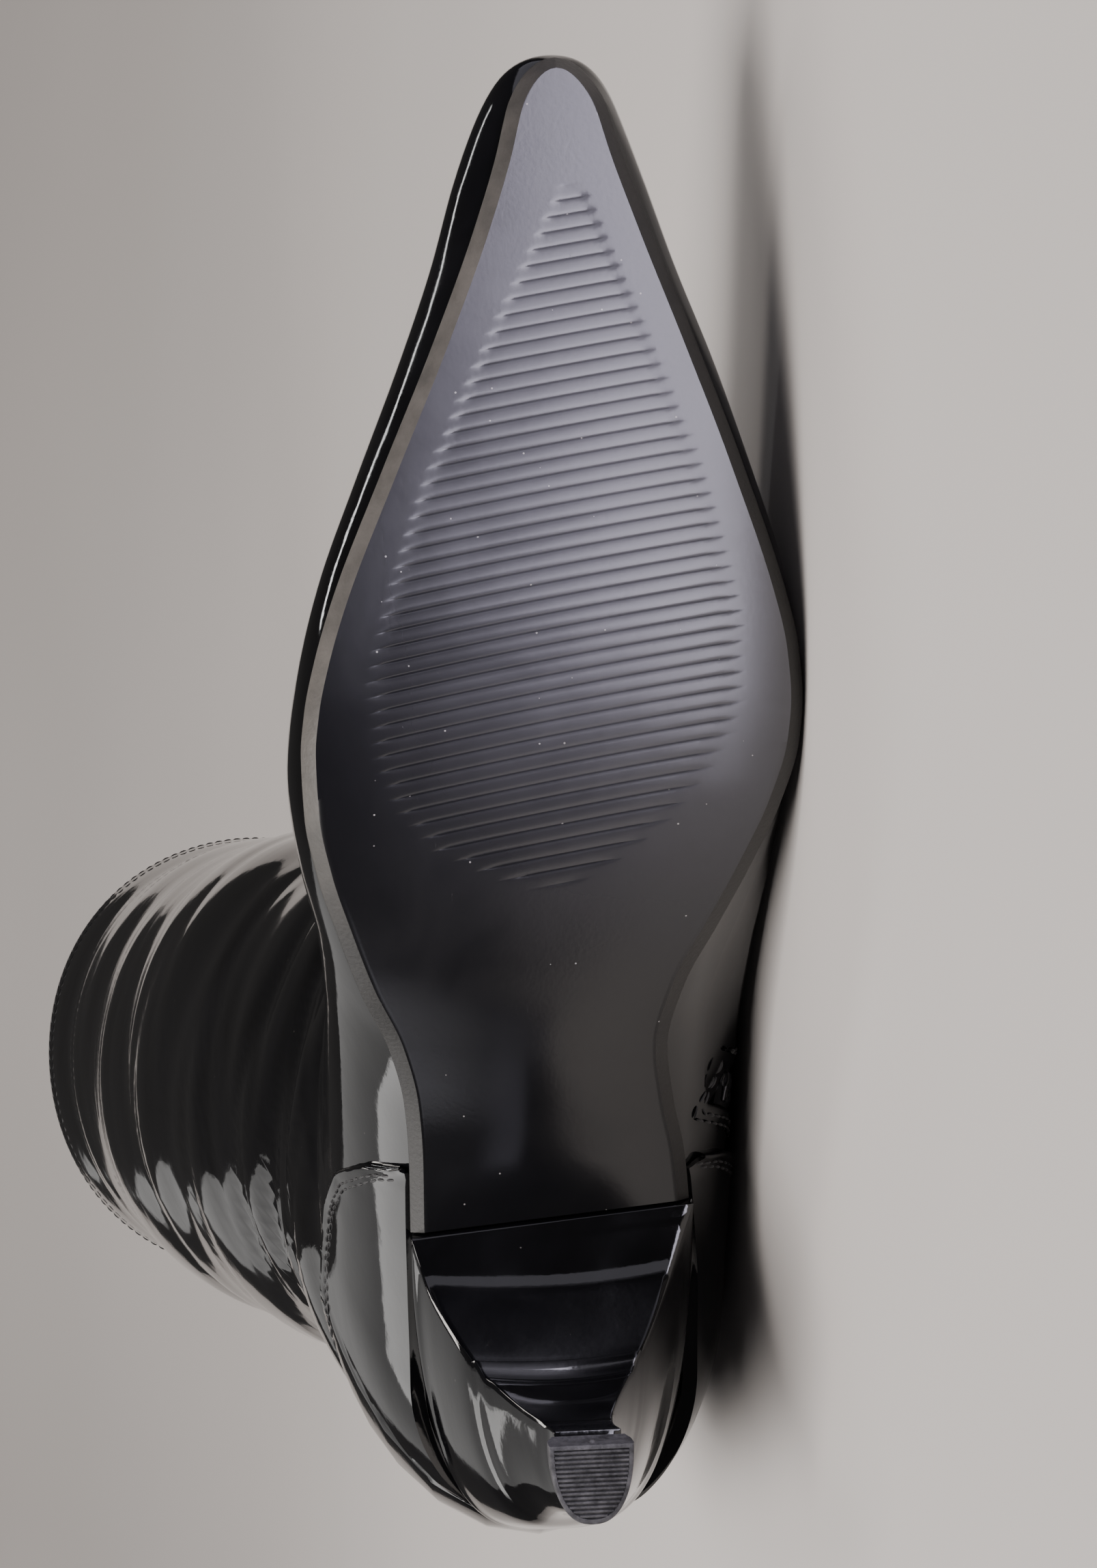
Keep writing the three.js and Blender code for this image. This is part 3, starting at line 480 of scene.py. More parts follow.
@surface
def moulded_rubber(tree, place, finish):
    """Satin moulded rubber of the sole: near black at the waist, cool grey over the forepart, most towards
    the toe and on the side nearest the floor, a grey that is partly dust and partly painted sheen; with
    dust grains, small scuffs and a fine mould texture."""
    axes = add_node(tree, "ShaderNodeSeparateXYZ", {"Vector": place})
    # Painted sheen, partly dust: the forepart grey grows towards the toe and towards the side nearest the
    # floor.
    dust_and_sheen_fades = [add_node(tree, "ShaderNodeMapRange", {
        "Value": axes.outputs[axis], "From Min": low, "From Max": high, "To Max": most},
        interpolation_type="SMOOTHSTEP").outputs["Result"]
        for axis, low, high, most in (("X", -0.02, 0.075, 1.0), ("Z", 0.085, 0.012, 1.0),
                                      ("X", 0.06, 0.12, 0.55))]
    dust_and_sheen_front = add_node(tree, "ShaderNodeMath", {0: dust_and_sheen_fades[0], 1: dust_and_sheen_fades[1]}, operation="MULTIPLY")
    dust_and_sheen = add_node(tree, "ShaderNodeMath", {0: dust_and_sheen_front.outputs[0], 1: dust_and_sheen_fades[2]}, operation="MAXIMUM")
    cloud = add_node(tree, "ShaderNodeTexNoise", {"Vector": place, "Scale": per_mm(22), "Detail": 5.0,
                                                  "Roughness": 0.6, "Distortion": 0.5}).outputs["Fac"]
    drift = add_node(tree, "ShaderNodeMapRange", {"Value": cloud, "From Min": 0.3, "From Max": 0.75,
                                                  "To Min": 0.8, "To Max": 1.1})
    share = add_node(tree, "ShaderNodeMath", {0: dust_and_sheen.outputs[0], 1: drift.outputs["Result"]},
                     operation="MULTIPLY")
    base = add_node(tree, "ShaderNodeMix", {0: share.outputs[0], 6: rgba(finish.waist),
                                            7: rgba(finish.forepart)}, data_type="RGBA")
    turned = add_node(tree, "ShaderNodeMapping", {"Vector": place, "Scale": (1.0, 1.0, 7.0),
                                                  "Rotation": (0.0, 0.5, 0.0)})
    hair = add_node(tree, "ShaderNodeTexNoise", {"Vector": turned.outputs["Vector"], "Scale": per_mm(9),
                                                 "Detail": 6.0, "Roughness": 0.75, "Distortion": 1.5})
    scuff = add_node(tree, "ShaderNodeMapRange", {"Value": hair.outputs["Fac"], "From Min": 0.70,
                                                  "From Max": 0.73}).outputs["Result"]
    scuffed = add_node(tree, "ShaderNodeMath", {0: scuff, 1: 0.35}, operation="MULTIPLY")
    marked = add_node(tree, "ShaderNodeMix", {0: scuffed.outputs[0], 6: base.outputs[2],
                                              7: rgba("#7d7a80")}, data_type="RGBA")
    rough = add_node(tree, "ShaderNodeMapRange", {"Value": cloud, "From Min": 0.3, "From Max": 0.7,
                                                  "To Min": 0.17, "To Max": 0.25})
    texture = add_node(tree, "ShaderNodeTexNoise", {"Vector": place, "Scale": per_mm(0.8), "Detail": 3.0})
    skin = add_node(tree, "ShaderNodeBump", {"Height": texture.outputs["Fac"], "Strength": 0.15,
                                             "Distance": 0.00006})
    cut = add_node(tree, "ShaderNodeBump", {"Height": scuff, "Strength": 0.3, "Distance": 0.00008,
                                            "Normal": skin.outputs["Normal"]})
    return {"Base Color": dusted(tree, place, marked.outputs[2], 2.6, 0.062, 0.30, 0.6, "#a9a5a2"),
            "Roughness": rough.outputs["Result"], "Specular IOR Level": 0.6,
            "Normal": cut.outputs["Normal"]}


@surface
def ground_rubber(tree, place, finish):
    """The sole's bevel, ground on a wheel: sandy grey on the upper, outer side and towards the front, near
    black on the side toward the floor; the grey is real grinding, but keeping it to the side where light
    falls is painted light and shade.
    """
    axes = add_node(tree, "ShaderNodeSeparateXYZ", {"Vector": place})
    # Painted light and shade: the sandy grey is kept to the upper, outer side and the front, and the floor
    # side stays dark.
    outer, front = (add_node(tree, "ShaderNodeMapRange", {
        "Value": axes.outputs[axis], "From Min": low, "From Max": high},
        interpolation_type="SMOOTHSTEP").outputs["Result"]
        for axis, low, high in (("Z", 0.030, 0.055), ("X", -0.010, 0.035)))
    sand_and_painted_light = add_node(tree, "ShaderNodeMath", {0: outer, 1: front}, operation="MULTIPLY")
    dark, cloud = two_tone(tree, place, 7, "#0f0f10", "#242220", Detail=5.0, Roughness=0.7)
    sand = add_node(tree, "ShaderNodeMix", {0: cloud, 6: rgba("#24221f"), 7: rgba(finish.bevel)},
                    data_type="RGBA")
    base = add_node(tree, "ShaderNodeMix", {0: sand_and_painted_light.outputs[0], 6: dark, 7: sand.outputs[2]},
                    data_type="RGBA")
    grit = add_node(tree, "ShaderNodeTexNoise", {"Vector": place, "Scale": per_mm(0.7), "Detail": 4.0})
    ground = add_node(tree, "ShaderNodeBump", {"Height": grit.outputs["Fac"], "Strength": 0.5,
                                               "Distance": 0.00015})
    return {"Base Color": base.outputs[2], "Roughness": 0.5, "Normal": ground.outputs["Normal"]}


@surface
def hard_rubber(tree, place):
    """Hard rubber of the top piece: dull charcoal, its ribs greyed by dust and wear."""
    cloud = add_node(tree, "ShaderNodeTexNoise", {"Vector": place, "Scale": per_mm(2.4), "Detail": 5.0,
                                                  "Roughness": 0.75})
    tint = add_node(tree, "ShaderNodeMapRange", {"Value": cloud.outputs["Fac"], "From Min": 0.35,
                                                 "From Max": 0.7})
    base = add_node(tree, "ShaderNodeMix", {0: tint.outputs["Result"], 6: rgba("#232327"),
                                            7: rgba("#5a595d")}, data_type="RGBA")
    grit = add_node(tree, "ShaderNodeTexNoise", {"Vector": place, "Scale": per_mm(0.4), "Detail": 3.0})
    pitted = add_node(tree, "ShaderNodeBump", {"Height": grit.outputs["Fac"], "Strength": 0.5,
                                               "Distance": 0.0001})
    return {"Base Color": base.outputs[2], "Roughness": 0.6, "Normal": pitted.outputs["Normal"]}


@surface
def spun_thread(tree, place):
    """Three-ply polyester sewing thread: black with a low silky sheen, its twist as fine ridges."""
    colour, twist = two_tone(tree, place, 0.5, "#09090b", "#2a292c", Detail=2.0)
    ridge = add_node(tree, "ShaderNodeBump", {"Height": twist, "Strength": 0.5, "Distance": 0.0001})
    return {"Base Color": colour, "Roughness": 0.5, "Sheen Weight": 0.15, "Normal": ridge.outputs["Normal"]}


@surface
def zip_nylon(tree, place, rough, low, high):
    """Nylon of the zip. The coil is drawn monofilament with a soft shine, the tape woven and matte."""
    colour, weave = two_tone(tree, place, 0.9, low, high, Detail=3.0)
    ridge = add_node(tree, "ShaderNodeBump", {"Height": weave, "Strength": 0.4, "Distance": 0.0001})
    return {"Base Color": colour, "Roughness": rough, "Normal": ridge.outputs["Normal"]}


@surface
def gunmetal(tree, place):
    """Die-cast zinc with a dark nickel plating: gunmetal, lightly tumbled, rubbed on its faces."""
    colour, rub = two_tone(tree, place, 1.8, "#4a4a4f", "#7b7b80", Detail=4.0, Roughness=0.7)
    rough = add_node(tree, "ShaderNodeMapRange", {"Value": rub, "To Min": 0.18, "To Max": 0.42})
    return {"Base Color": colour, "Roughness": rough.outputs["Result"], "Metallic": 1.0}


@surface
def sock_leather(tree, place):
    """Thin split leather glued on the insole board: dark brown-black, grained, dulled by wear."""
    pore = add_node(tree, "ShaderNodeTexVoronoi", {"Vector": place, "Scale": per_mm(1.3)})
    grain = add_node(tree, "ShaderNodeBump", {"Height": pore.outputs["Distance"], "Strength": 0.4,
                                              "Distance": 0.0002})
    return {"Base Color": two_tone(tree, place, 30, "#1c1917", "#3a332e", Detail=4.0)[0],
            "Roughness": 0.65, "Normal": grain.outputs["Normal"]}


@surface
def studio_paper(tree, place, colour):
    """Wide paper sweep: matte, with a barely visible unevenness."""
    return {"Base Color": two_tone(tree, place, 600, colour, "#cfcac7", Detail=2.0)[0], "Roughness": 0.75}


def select_only(obj):
    bpy.ops.object.select_all(action="DESELECT")
    obj.select_set(True)
    bpy.context.view_layer.objects.active = obj


def take(name):
    """The object just added, named and with its own mesh."""
    obj = bpy.context.object
    obj.name = name
    obj.data.name = name
    return obj


def add_shape(name, operator, **settings):
    """Adds a primitive as the one selected object."""
    bpy.ops.object.select_all(action="DESELECT")
    operator(**settings)
    return take(name)


def corners(obj):
    return np.array([v.co for v in obj.data.vertices], float)


def edit_all(obj, *steps):
    """Runs edit-mode operators, each given with its settings, on the whole mesh."""
    select_only(obj)
    bpy.ops.object.mode_set(mode="EDIT")
    bpy.ops.mesh.select_all(action="SELECT")
    for operator, settings in steps:
        operator(**settings)
    bpy.ops.object.mode_set(mode="OBJECT")


def drop_faces(obj, faces):
    """Deletes the faces given by number."""
    select_only(obj)
    bpy.ops.object.mode_set(mode="EDIT")
    bpy.ops.mesh.select_mode(type="FACE")
    bpy.ops.mesh.select_all(action="DESELECT")
    bpy.ops.object.mode_set(mode="OBJECT")
    for i in faces:
        obj.data.polygons[i].select = True
    bpy.ops.object.mode_set(mode="EDIT")
    bpy.ops.mesh.delete(type="FACE")
    bpy.ops.object.mode_set(mode="OBJECT")


def close_up(obj, fill=False):
    """Merges the seam and the poles, fills open ends if asked, and turns all faces outwards."""
    ends = [(bpy.ops.mesh.fill_holes, {"sides": 0}), (bpy.ops.mesh.select_all, {"action": "SELECT"})]
    edit_all(obj, (bpy.ops.mesh.remove_doubles, {"threshold": MERGE}), *(ends if fill else []),
             (bpy.ops.mesh.normals_make_consistent, {"inside": False}))


def small_block(name, size, edge, segments):
    """A block with bevelled edges."""
    obj = add_shape(name, bpy.ops.mesh.primitive_cube_add, size=1)
    edit_all(obj, (bpy.ops.transform.resize, {"value": size}),
             (bpy.ops.mesh.bevel, {"offset": edge, "segments": segments}))
    return obj


def set_down(obj, points, material):
    """Puts the vertices of a small piece at standing points and closes it."""
    obj.data.vertices.foreach_set("co", lay(points).ravel())
    obj.data.materials.append(material)
    close_up(obj)
    return obj


def join(name, pieces):
    """Joins pieces into the first of them under one name."""
    select_only(pieces[0])
    for piece in pieces[1:]:
        piece.select_set(True)
    bpy.ops.object.join()
    return take(name)


def modifier(obj, kind, **settings):
    """Adds a modifier, sets it and applies it."""
    select_only(obj)
    mod = obj.modifiers.new(kind.lower(), kind)
    for name, value in settings.items():
        setattr(mod, name, value)
    bpy.ops.object.modifier_apply(modifier=mod.name)


def form(name, rows, material, drop=(), fill=False):
    """A grid primitive whose vertices are shaped row by row onto measured sections."""
    rows = np.asarray(rows, float)
    high, wide = rows.shape[:2]
    obj = add_shape(name, bpy.ops.mesh.primitive_grid_add, x_subdivisions=wide - 1, y_subdivisions=high - 1,
                    size=0.1)
    obj.data.vertices.foreach_set("co", on_floor(lay(rows.reshape(-1, 3))).ravel())
    obj.data.materials.append(material)
    if drop:
        drop_faces(obj, drop)
    close_up(obj, fill)
    return obj


def finish(obj, body, slot, *nodes):
    """Smooth shading, and the body and CAD nodes that the piece goes with; slot is not used."""
    select_only(obj)
    bpy.ops.object.shade_smooth_by_angle(angle=math.radians(40))
    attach(obj, body)
    if nodes:
        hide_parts(*nodes)
    return obj


def repeat(name, model, places, material):
    """Copies one small modelled piece to many places, given as standing points with their ways."""
    shape = corners(model)
    polygons = [tuple(p.vertices) for p in model.data.polygons]
    bpy.data.objects.remove(model)
    points = []
    faces = []
    for point, run, out in places:
        x = run / np.linalg.norm(run)
        y = np.cross(out, x)
        y /= np.linalg.norm(y)
        base = len(points) * len(shape)
        points.append(np.asarray(point) + shape @ np.array([x, y, np.cross(x, y)]))
        faces += [tuple(base + i for i in f) for f in polygons]
    mesh = bpy.data.meshes.new(name)
    mesh.from_pydata(on_floor(lay(np.vstack(points))).tolist(), [], faces)
    obj = bpy.data.objects.new(name, mesh)
    bpy.context.collection.objects.link(obj)
    mesh.materials.append(material)
    edit_all(obj, (bpy.ops.mesh.normals_make_consistent, {"inside": False}))
    return obj


def run_of(points):
    """Length run along a line up to each of its points."""
    return np.concatenate([[0], np.cumsum(np.linalg.norm(np.diff(points, axis=0), axis=1))])


def along(run, values, q):
    """What values, given at the points of a run, are at q."""
    return np.array([np.interp(q, run, column) for column in values.T])


def spot(s, t):
    """One point of the upper and the way out there."""
    return section(s, [t])[0], outward(s, [t])[0]


def stitches_on(points, ways, length):
    """Places of a row of stitches along a line on the leather."""
    points = np.asarray(points)
    ways = np.asarray(ways)
    run = run_of(points)
    step = length + STITCH_GAP
    out = []
    for k in range(int(run[-1] // step)):
        d = (k + 0.5) * step
        lie = along(run, points, d + length / 2) - along(run, points, d - length / 2)
        out.append((along(run, points, d), lie, along(run, ways, d)))
    return out


def stitch(length, thread):
    """One stitch: a plump thread whose ends dive into their holes."""
    obj = add_shape("stitch", bpy.ops.mesh.primitive_uv_sphere_add, segments=6, ring_count=5, radius=1)
    edit_all(obj, (bpy.ops.transform.resize, {"value": (thread / 2, thread / 2, length / 2)}))
    for v in obj.data.vertices:
        x, y, z = v.co
        v.co = (z, y, x + thread * (0.12 - 0.5 * (z / length * 2) ** 4))
    return obj


def seam(name, lines, trim):
    """Rows of stitches along lines of points and ways, as one piece."""
    length = trim.stitch * 1000
    places = []
    for points, ways in lines:
        if len(points) > 3:
            places += stitches_on(points, ways, length)
    obj = repeat(name, stitch(length, THREAD), places, spun_thread("thread_polyester"))
    return finish(obj, "boot", "patent")


def upper_columns(s):
    """Shares of t on one row. Six of them follow the edges of the zip's opening."""
    q = max(s, ZIP_ROW - 0.03)
    at = zip_share(q)
    half = ZIP_HALF + GAP + 0.15
    k = zip_spread(q, [half, half + 0.35, half + 0.9, half + 1.8, half + 3.4])
    a = min(at - k[0], 0.90)
    b = min(at + k[0], 0.93)
    near = k[1:] - k[0]
    before = a - near[::-1]
    after = b + np.minimum(near, (0.995 - b) * np.array([0.15, 0.35, 0.6, 0.8]))
    return np.concatenate([np.linspace(-1, 0, OUTER_COLUMNS, endpoint=False),
                           np.linspace(0, before[0], INNER_COLUMNS, endpoint=False),
                           before, [a, b], after, after[-1] + (1 - after[-1]) * np.linspace(0, 1, 13)[1:]])


def make_upper(finishes, trim):
    """The lasted upper and its leg: outside skin, folded zip edges, creases and hem, then the wall."""
    rows = list(np.arange(0, 5, 0.25)) + list(np.arange(5, 14.5, 0.125)) + [ZIP_ROW - 0.03]
    rows += list(np.arange(14.75, 24, 0.125)) + list(np.arange(24, 28.9, 0.1)) + [28.93, 28.97, LAST]
    slot = OUTER_COLUMNS + INNER_COLUMNS + 4
    folded = (-0.15, 0.22, 0.36, 0.2)
    skin = []
    for s in rows:
        t = upper_columns(s)
        p = section(s, t)
        n = outward(s, t)
        lift = -crease_at(p, t) * smooth((s - 10.5) / 1.5)
        open_edge = float(smooth((s - ZIP_ROW + 0.6) / 0.6))
        for k, h in enumerate(folded):
            lift[slot - k] += h * open_edge
            lift[slot + 1 + k] += h * open_edge
        if s > 20.4:
            lift += 0.35 * smooth(1 - (1 - np.abs(t)) / 0.022)
        lift += 0.45 * float(smooth((s - HEM_ROW) / 0.04)) - (0.4 if s == LAST else 0)
        if s == 0:
            n[:] = (0.96, 0, 0.28)
        p = p + n * lift[:, None]
        if s == 0 or s >= HEEL_ROW:
            p[-1] = p[0]
        if s == 0:
            p[:] = p[0]
        skin.append(p)
    wide = len(skin[0]) - 1
    drop = [i * wide + slot for i, s in enumerate(rows[:-1]) if s >= ZIP_ROW - 0.031]
    obj = form("upper_shell", skin, patent_leather("patent_leather", finishes), drop)
    obj.data.materials.append(brushed_lining("lining_fabric"))
    modifier(obj, "SOLIDIFY", thickness=trim.wall, offset=-1, material_offset=1, use_quality_normals=True)
    return finish(obj, "boot", "patent", "upper")


def counter_edge(s, side):
    """Share t where the counter's top edge crosses row s, or None off the counter."""
    look = np.linspace(0.3, 0.999, 300)
    p = section(s, side * look)
    inside = (p[:, 0] < COUNTER_X) & (p[:, 2] < np.interp(p[:, 0], *np.array(COUNTER_LINE).T))
    return float(look[int(np.argmax(inside))]) if inside[-1] else None


def make_counter(finishes, trim):
    """The heel counter: each side a skin with a plump folded edge, rolled under at the seat."""
    q = np.array([0, 0.2, 0.4, 0.6, 0.74, 0.83, 0.89, 0.93, 0.96, 0.98, 0.993, 1.0])
    face = GAP + COUNTER_THICK
    halves = []
    lines = []
    for side in (-1, 1):
        grid = []
        edge = []
        for s in np.arange(14.7, 22.4, 0.0625):
            te = counter_edge(s, side)
            if te is None or (side > 0 and s < 14.9):
                continue
            if side > 0:
                te = max(te, min(zip_share(s) + float(zip_spread(s, ZIP_HALF + 2.4)), 0.995))
            ends = section(s, [side * te, side * 0.999])
            width = max(0.02, float(np.linalg.norm(ends[1] - ends[0])))
            t = side * (1 - q * (1 - te))
            p = section(s, t)
            n = outward(s, t)
            rim = (1 - q) * width
            lift = face * np.sqrt(clamp(1 - (1 - clamp(rim / 0.9)) ** 2))
            lift += 0.35 * np.exp(-(((rim - 1.2) / 0.9) ** 2))
            lift -= sum(0.16 * np.exp(-(((rim - row) / 0.5) ** 2)) for row in COUNTER_SEAMS)
            lift[-1] = -0.35
            shell = p + n * lift[:, None]
            under = shell[[0, 0]].copy()
            if s < HEEL_ROW:
                x, y = shell[0, :2]
                way = np.array([30 - x if x < 30 else 0, TIP_Y - y, 0])
                way /= np.linalg.norm(way)
                under[0] += way * 2.6
                under[1] += way * 0.7
                under[:, 2] = float(seat_z(x)) + np.array([0.05, -0.2])
            grid.append(np.vstack([under, shell]))
            edge.append((s, te, width))
        half = form(f"counter_half_{len(halves)}", grid, patent_leather("patent_leather", finishes))
        modifier(half, "SOLIDIFY", thickness=0.0009, offset=-1)
        halves.append(half)
        for inset in COUNTER_SEAMS:
            shares = [(s, side * (te + (1 - te) * inset / w)) for s, te, w in edge]
            points, ways = zip(*(spot(s, t) for s, t in shares if abs(t) < BACK_SHARE))
            lines.append((np.array(points) + np.array(ways) * (face - 0.05), ways))
    finish(join("counter_overlay", halves), "boot", "patent", "counter")
    return seam("counter_stitches", lines, trim)


def sole_side(side):
    """Lines of the sole's edge on one side: points and the way out in plan."""
    u = np.linspace(0, 1, 900)
    x = BREAST_X - 5 + (SOLE_TIP - BREAST_X + 5) * (1 - (1 - u) ** 2.2)
    middle, half = edge_at(x)
    y = middle + side * half
    x[-1] = SOLE_TIP
    y[-1] = middle[-1]
    dx, dy = np.gradient(x), np.gradient(y)
    long = np.hypot(dx, dy) + 1e-9
    nx, ny = side * -dy / long, side * dx / long
    turn = np.where(ny * side < 0, -1, 1)
    nx, ny = nx * turn, ny * turn
    nx[-1], ny[-1] = 1.0, 0.0
    return np.stack([x, y], 1), np.stack([nx, ny], 1)


def make_outsole(finishes, trim):
    """The unit sole: pillow-shaped tread between fine grooves, crowned waist, ground bevel."""
    pitch = trim.groove_pitch * 1000
    depth = trim.groove_depth * 1000
    lines = {}
    for side in (-1, 1):
        outer, way = sole_side(side)
        inner = outer - SOLE_BEVEL * way
        lines[side] = inner, outer

    def row_x(r, y):
        slope = BREAST_SKEW + (0.165 - BREAST_SKEW) * smooth((r - 70) / 60)
        return r + slope * (y + 2) - 0.0006 * (y + 2) ** 2 * smooth((r - 70) / 60)

    start = BREAST_X + GAP
    rows = [start]
    while rows[-1] < 236:
        at = rows[-1]
        fine = at > 104
        steps = (0.06, 0.14, 0.3, 0.5, 0.7, 0.86, 0.94, 1.0) if fine else (0.5, 1.0)
        rows += [at + pitch * f for f in steps]
    left = SOLE_TIP - SOLE_BEVEL - rows[-1]
    rows += [rows[-1] + left * (1 - (1 - k / 14) ** 2) for k in range(1, 14)]
    cols = 44
    even = np.linspace(0, 1, cols + 1)
    share = 0.7 * even + 0.3 * (0.5 - 0.5 * np.cos(np.pi * even))
    grid = []
    for r in rows:
        ends = {}
        for side in (-1, 1):
            inner, outer = lines[side]
            value = np.maximum.accumulate(inner[:, 0] - (row_x(r, inner[:, 1]) - r))
            k = float(np.interp(r, value, np.arange(len(value))))
            ends[side] = [along(np.arange(len(a)), a, k) for a in (inner, outer)]
        y = ends[-1][0][1] + (ends[1][0][1] - ends[-1][0][1]) * share
        x = row_x(r, y)
        x[0] = ends[-1][0][0]
        x[-1] = ends[1][0][0]
        low, high = read(TREAD, x, 1), read(TREAD, x, 2)
        field = smooth((y - low + 0.6) / 1.6) * smooth((high + 0.6 - y) / 1.6)
        field = field * smooth((x - 117) / 2) * smooth((231.5 - x) / 2)
        phase = ((r - start) / pitch) % 1.0
        scallop = 0.7 * abs(2 * phase - 1) ** 7 + 0.3 * (2 * phase - 1) ** 2
        crown = (1 - (2 * share - 1) ** 2) * smooth((118 - x) / 26) * smooth((x - 56) / 14)
        z = bottom_z(x) + depth * scallop * field - 1.0 * crown
        ring = list(zip(x, y, z))
        for side in (1, -1):
            inner, outer = ends[side]
            wall = []
            for f in (0.03, 0.3, 0.65, 0.93, 1.0):
                p = inner + (outer - inner) * f
                thick = float(seat_z(p[0]) - bottom_z(p[0]))
                wall.append((p[0], p[1], float(bottom_z(p[0])) + 0.62 * thick * (0.85 * f + 0.15 * f * f)))
            for f, drop in ((0.0, 0.3), (0.06, 0.08), (0.2, 0.0), (1.5, 0.0)):
                p = outer + (inner - outer) * f
                wall.append((p[0], p[1], float(seat_z(p[0])) - drop))
            ring = ring + wall if side > 0 else wall[::-1] + ring
        grid.append(ring + [ring[0]])
    obj = form("sole_unit", grid, moulded_rubber("satin_sole_rubber", finishes), fill=True)
    obj.data.materials.append(ground_rubber("sole_edge_rubber", finishes))
    flat = lay([(100, 0, 0), (100, 0, 1)])
    down = Vector(flat[0] - flat[1]).normalized()
    for face in obj.data.polygons:
        foot = face.center.x * 1000 + CENTRE_X
        slope = (float(bottom_z(foot + 1)) - float(bottom_z(foot - 1))) / 2
        tread = 112 < foot < 234
        way = Vector((0 if tread else slope, 0, 0)) + down
        facing = Vector((0 if tread else face.normal.x, face.normal.y, face.normal.z))
        face.material_index = 0 if facing.normalized().dot(way.normalized()) > 0.90 else 1
    return finish(obj, "boot", "sole_rubber", "outsole")


def block_ring(front, back, half, middle, count, height, hollow, square):
    """One plan outline of the heel: a breast with two crisp corners and a rounded back."""
    out = []
    flat = count // 4
    for i in range(flat):
        f = -1 + 2 * i / flat
        out.append((front - hollow * (1 - f * f), middle + half * f))
    for i in range(count - flat + 1):
        a = math.pi * i / (count - flat)
        y = half * math.copysign(abs(math.cos(a)) ** (2 / square), math.cos(a))
        out.append((front - (front - back) * math.sin(a) ** (2 / 2.2), middle + y))
    ring = []
    for x, y in out[:-1]:
        x += BREAST_SKEW * (y + 2) * float(smooth((x - 30) / 28))
        ring.append((x, y, height(x)))
    return ring + [ring[0]]


def make_heel(finishes):
    """The covered heel block: crisp breast edges, hollow flanks, the cover's glued fold as a line."""
    count = 120
    rings = []
    for inset, drop in ((1.2, -0.05), (0.5, 0.1), (0.1, 0.6)):
        rings.append(block_ring(59.4, HEEL_BACK + inset, HEEL_HALF - inset, -2.6, count,
                                lambda x, d=drop: float(seat_z(x)) - d, 0, 3.4))
    table = HEEL[::-1]
    for z in np.concatenate([np.linspace(49.6, 20, 44), np.linspace(19.3, 5.0, 20)]):
        front, back, half, middle = (float(read(table, z, k)) for k in (1, 2, 3, 4))
        share = float(smooth((50.3 - z) / 17))
        glue = 0.25 * math.exp(-(((z - 10.5) / 0.5) ** 2)) - float(read(BREAST_FOLD, z, 1))
        hollow = 0.9 * float(smooth((50 - z) / 8)) * float(smooth((z - 10) / 12))
        rings.append(block_ring(front - glue, back, half, middle, count,
                                lambda x: (1 - share) * (float(seat_z(x)) - 3.2 - (50.3 - z)) + share * z,
                                hollow, 2.0 + 1.3 * float(smooth((z - 20) / 30))))
    obj = form("heel_block", rings, patent_leather("heel_cover_patent", finishes), fill=True)
    modifier(obj, "BEVEL", width=0.00035, segments=2, limit_method="ANGLE", angle_limit=math.radians(42))
    return finish(obj, "boot", "heel_cover", "heel")


def make_top_piece():
    """The moulded top piece: a sunk field inside a narrow rim, crossed by fine square ribs."""
    rings = []
    for z, front, back, half in ((5.0, 28.9, 15.5, 5.9), (4.3, 28.5, 15.4, 6.6), (3.8, 28.35, 15.35, 6.85),
                                 (0.5, 28.3, 15.35, 6.9), (0.1, 28.15, 15.5, 6.75), (0.0, 27.9, 15.8, 6.5),
                                 (0.0, 27.5, 16.2, 6.1), (0.5, 27.4, 16.3, 6.0)):
        rings.append(block_ring(front, back, half, TIP_Y, 88, lambda x, h=z: h, 0, 2.4))
    rubber = hard_rubber("hard_tip_rubber")
    parts = [form("tip_body", rings, rubber, fill=True)]
    first, pitch, number = RIBS
    for k in range(number):
        x = first + pitch * k
        u = (27.4 - x) / (27.4 - 16.3)
        reach = 6.0 * (1 - u ** 2.2) ** (1 / 2.4) + 0.1 if u < 1 else 1.0
        rib = small_block(f"tip_rib_{k}", (0.42, reach * 2, 0.5), 0.09, 1)
        parts.append(set_down(rib, corners(rib) + (x, TIP_Y, 0.28), rubber))
    gate = add_shape("tip_gate", bpy.ops.mesh.primitive_uv_sphere_add, segments=12, ring_count=6,
                     radius=0.55)
    parts.append(set_down(gate, corners(gate) + (28.3, -2.2, 1.5), rubber))
    return finish(join("top_piece", parts), "boot", "tip_rubber", "heel_tip")


def zip_frames(step, start, end):
    """Places along the zip every step millimetres: point, across, along and out."""
    spots = [spot(s, zip_share(s)) for s in np.arange(ZIP_ROW, LAST, 0.04)]
    points, ways = (np.array(v) for v in zip(*spots))
    run = run_of(points)
    frames = []
    for d in np.arange(start, run[-1] - end, step):
        v = along(run, points, d + 0.8) - along(run, points, max(d - 0.8, 0))
        v /= np.linalg.norm(v)
        u = np.cross(v, along(run, ways, d))
        u /= np.linalg.norm(u)
        frames.append((along(run, points, d), u, v, np.cross(u, v)))
    return frames


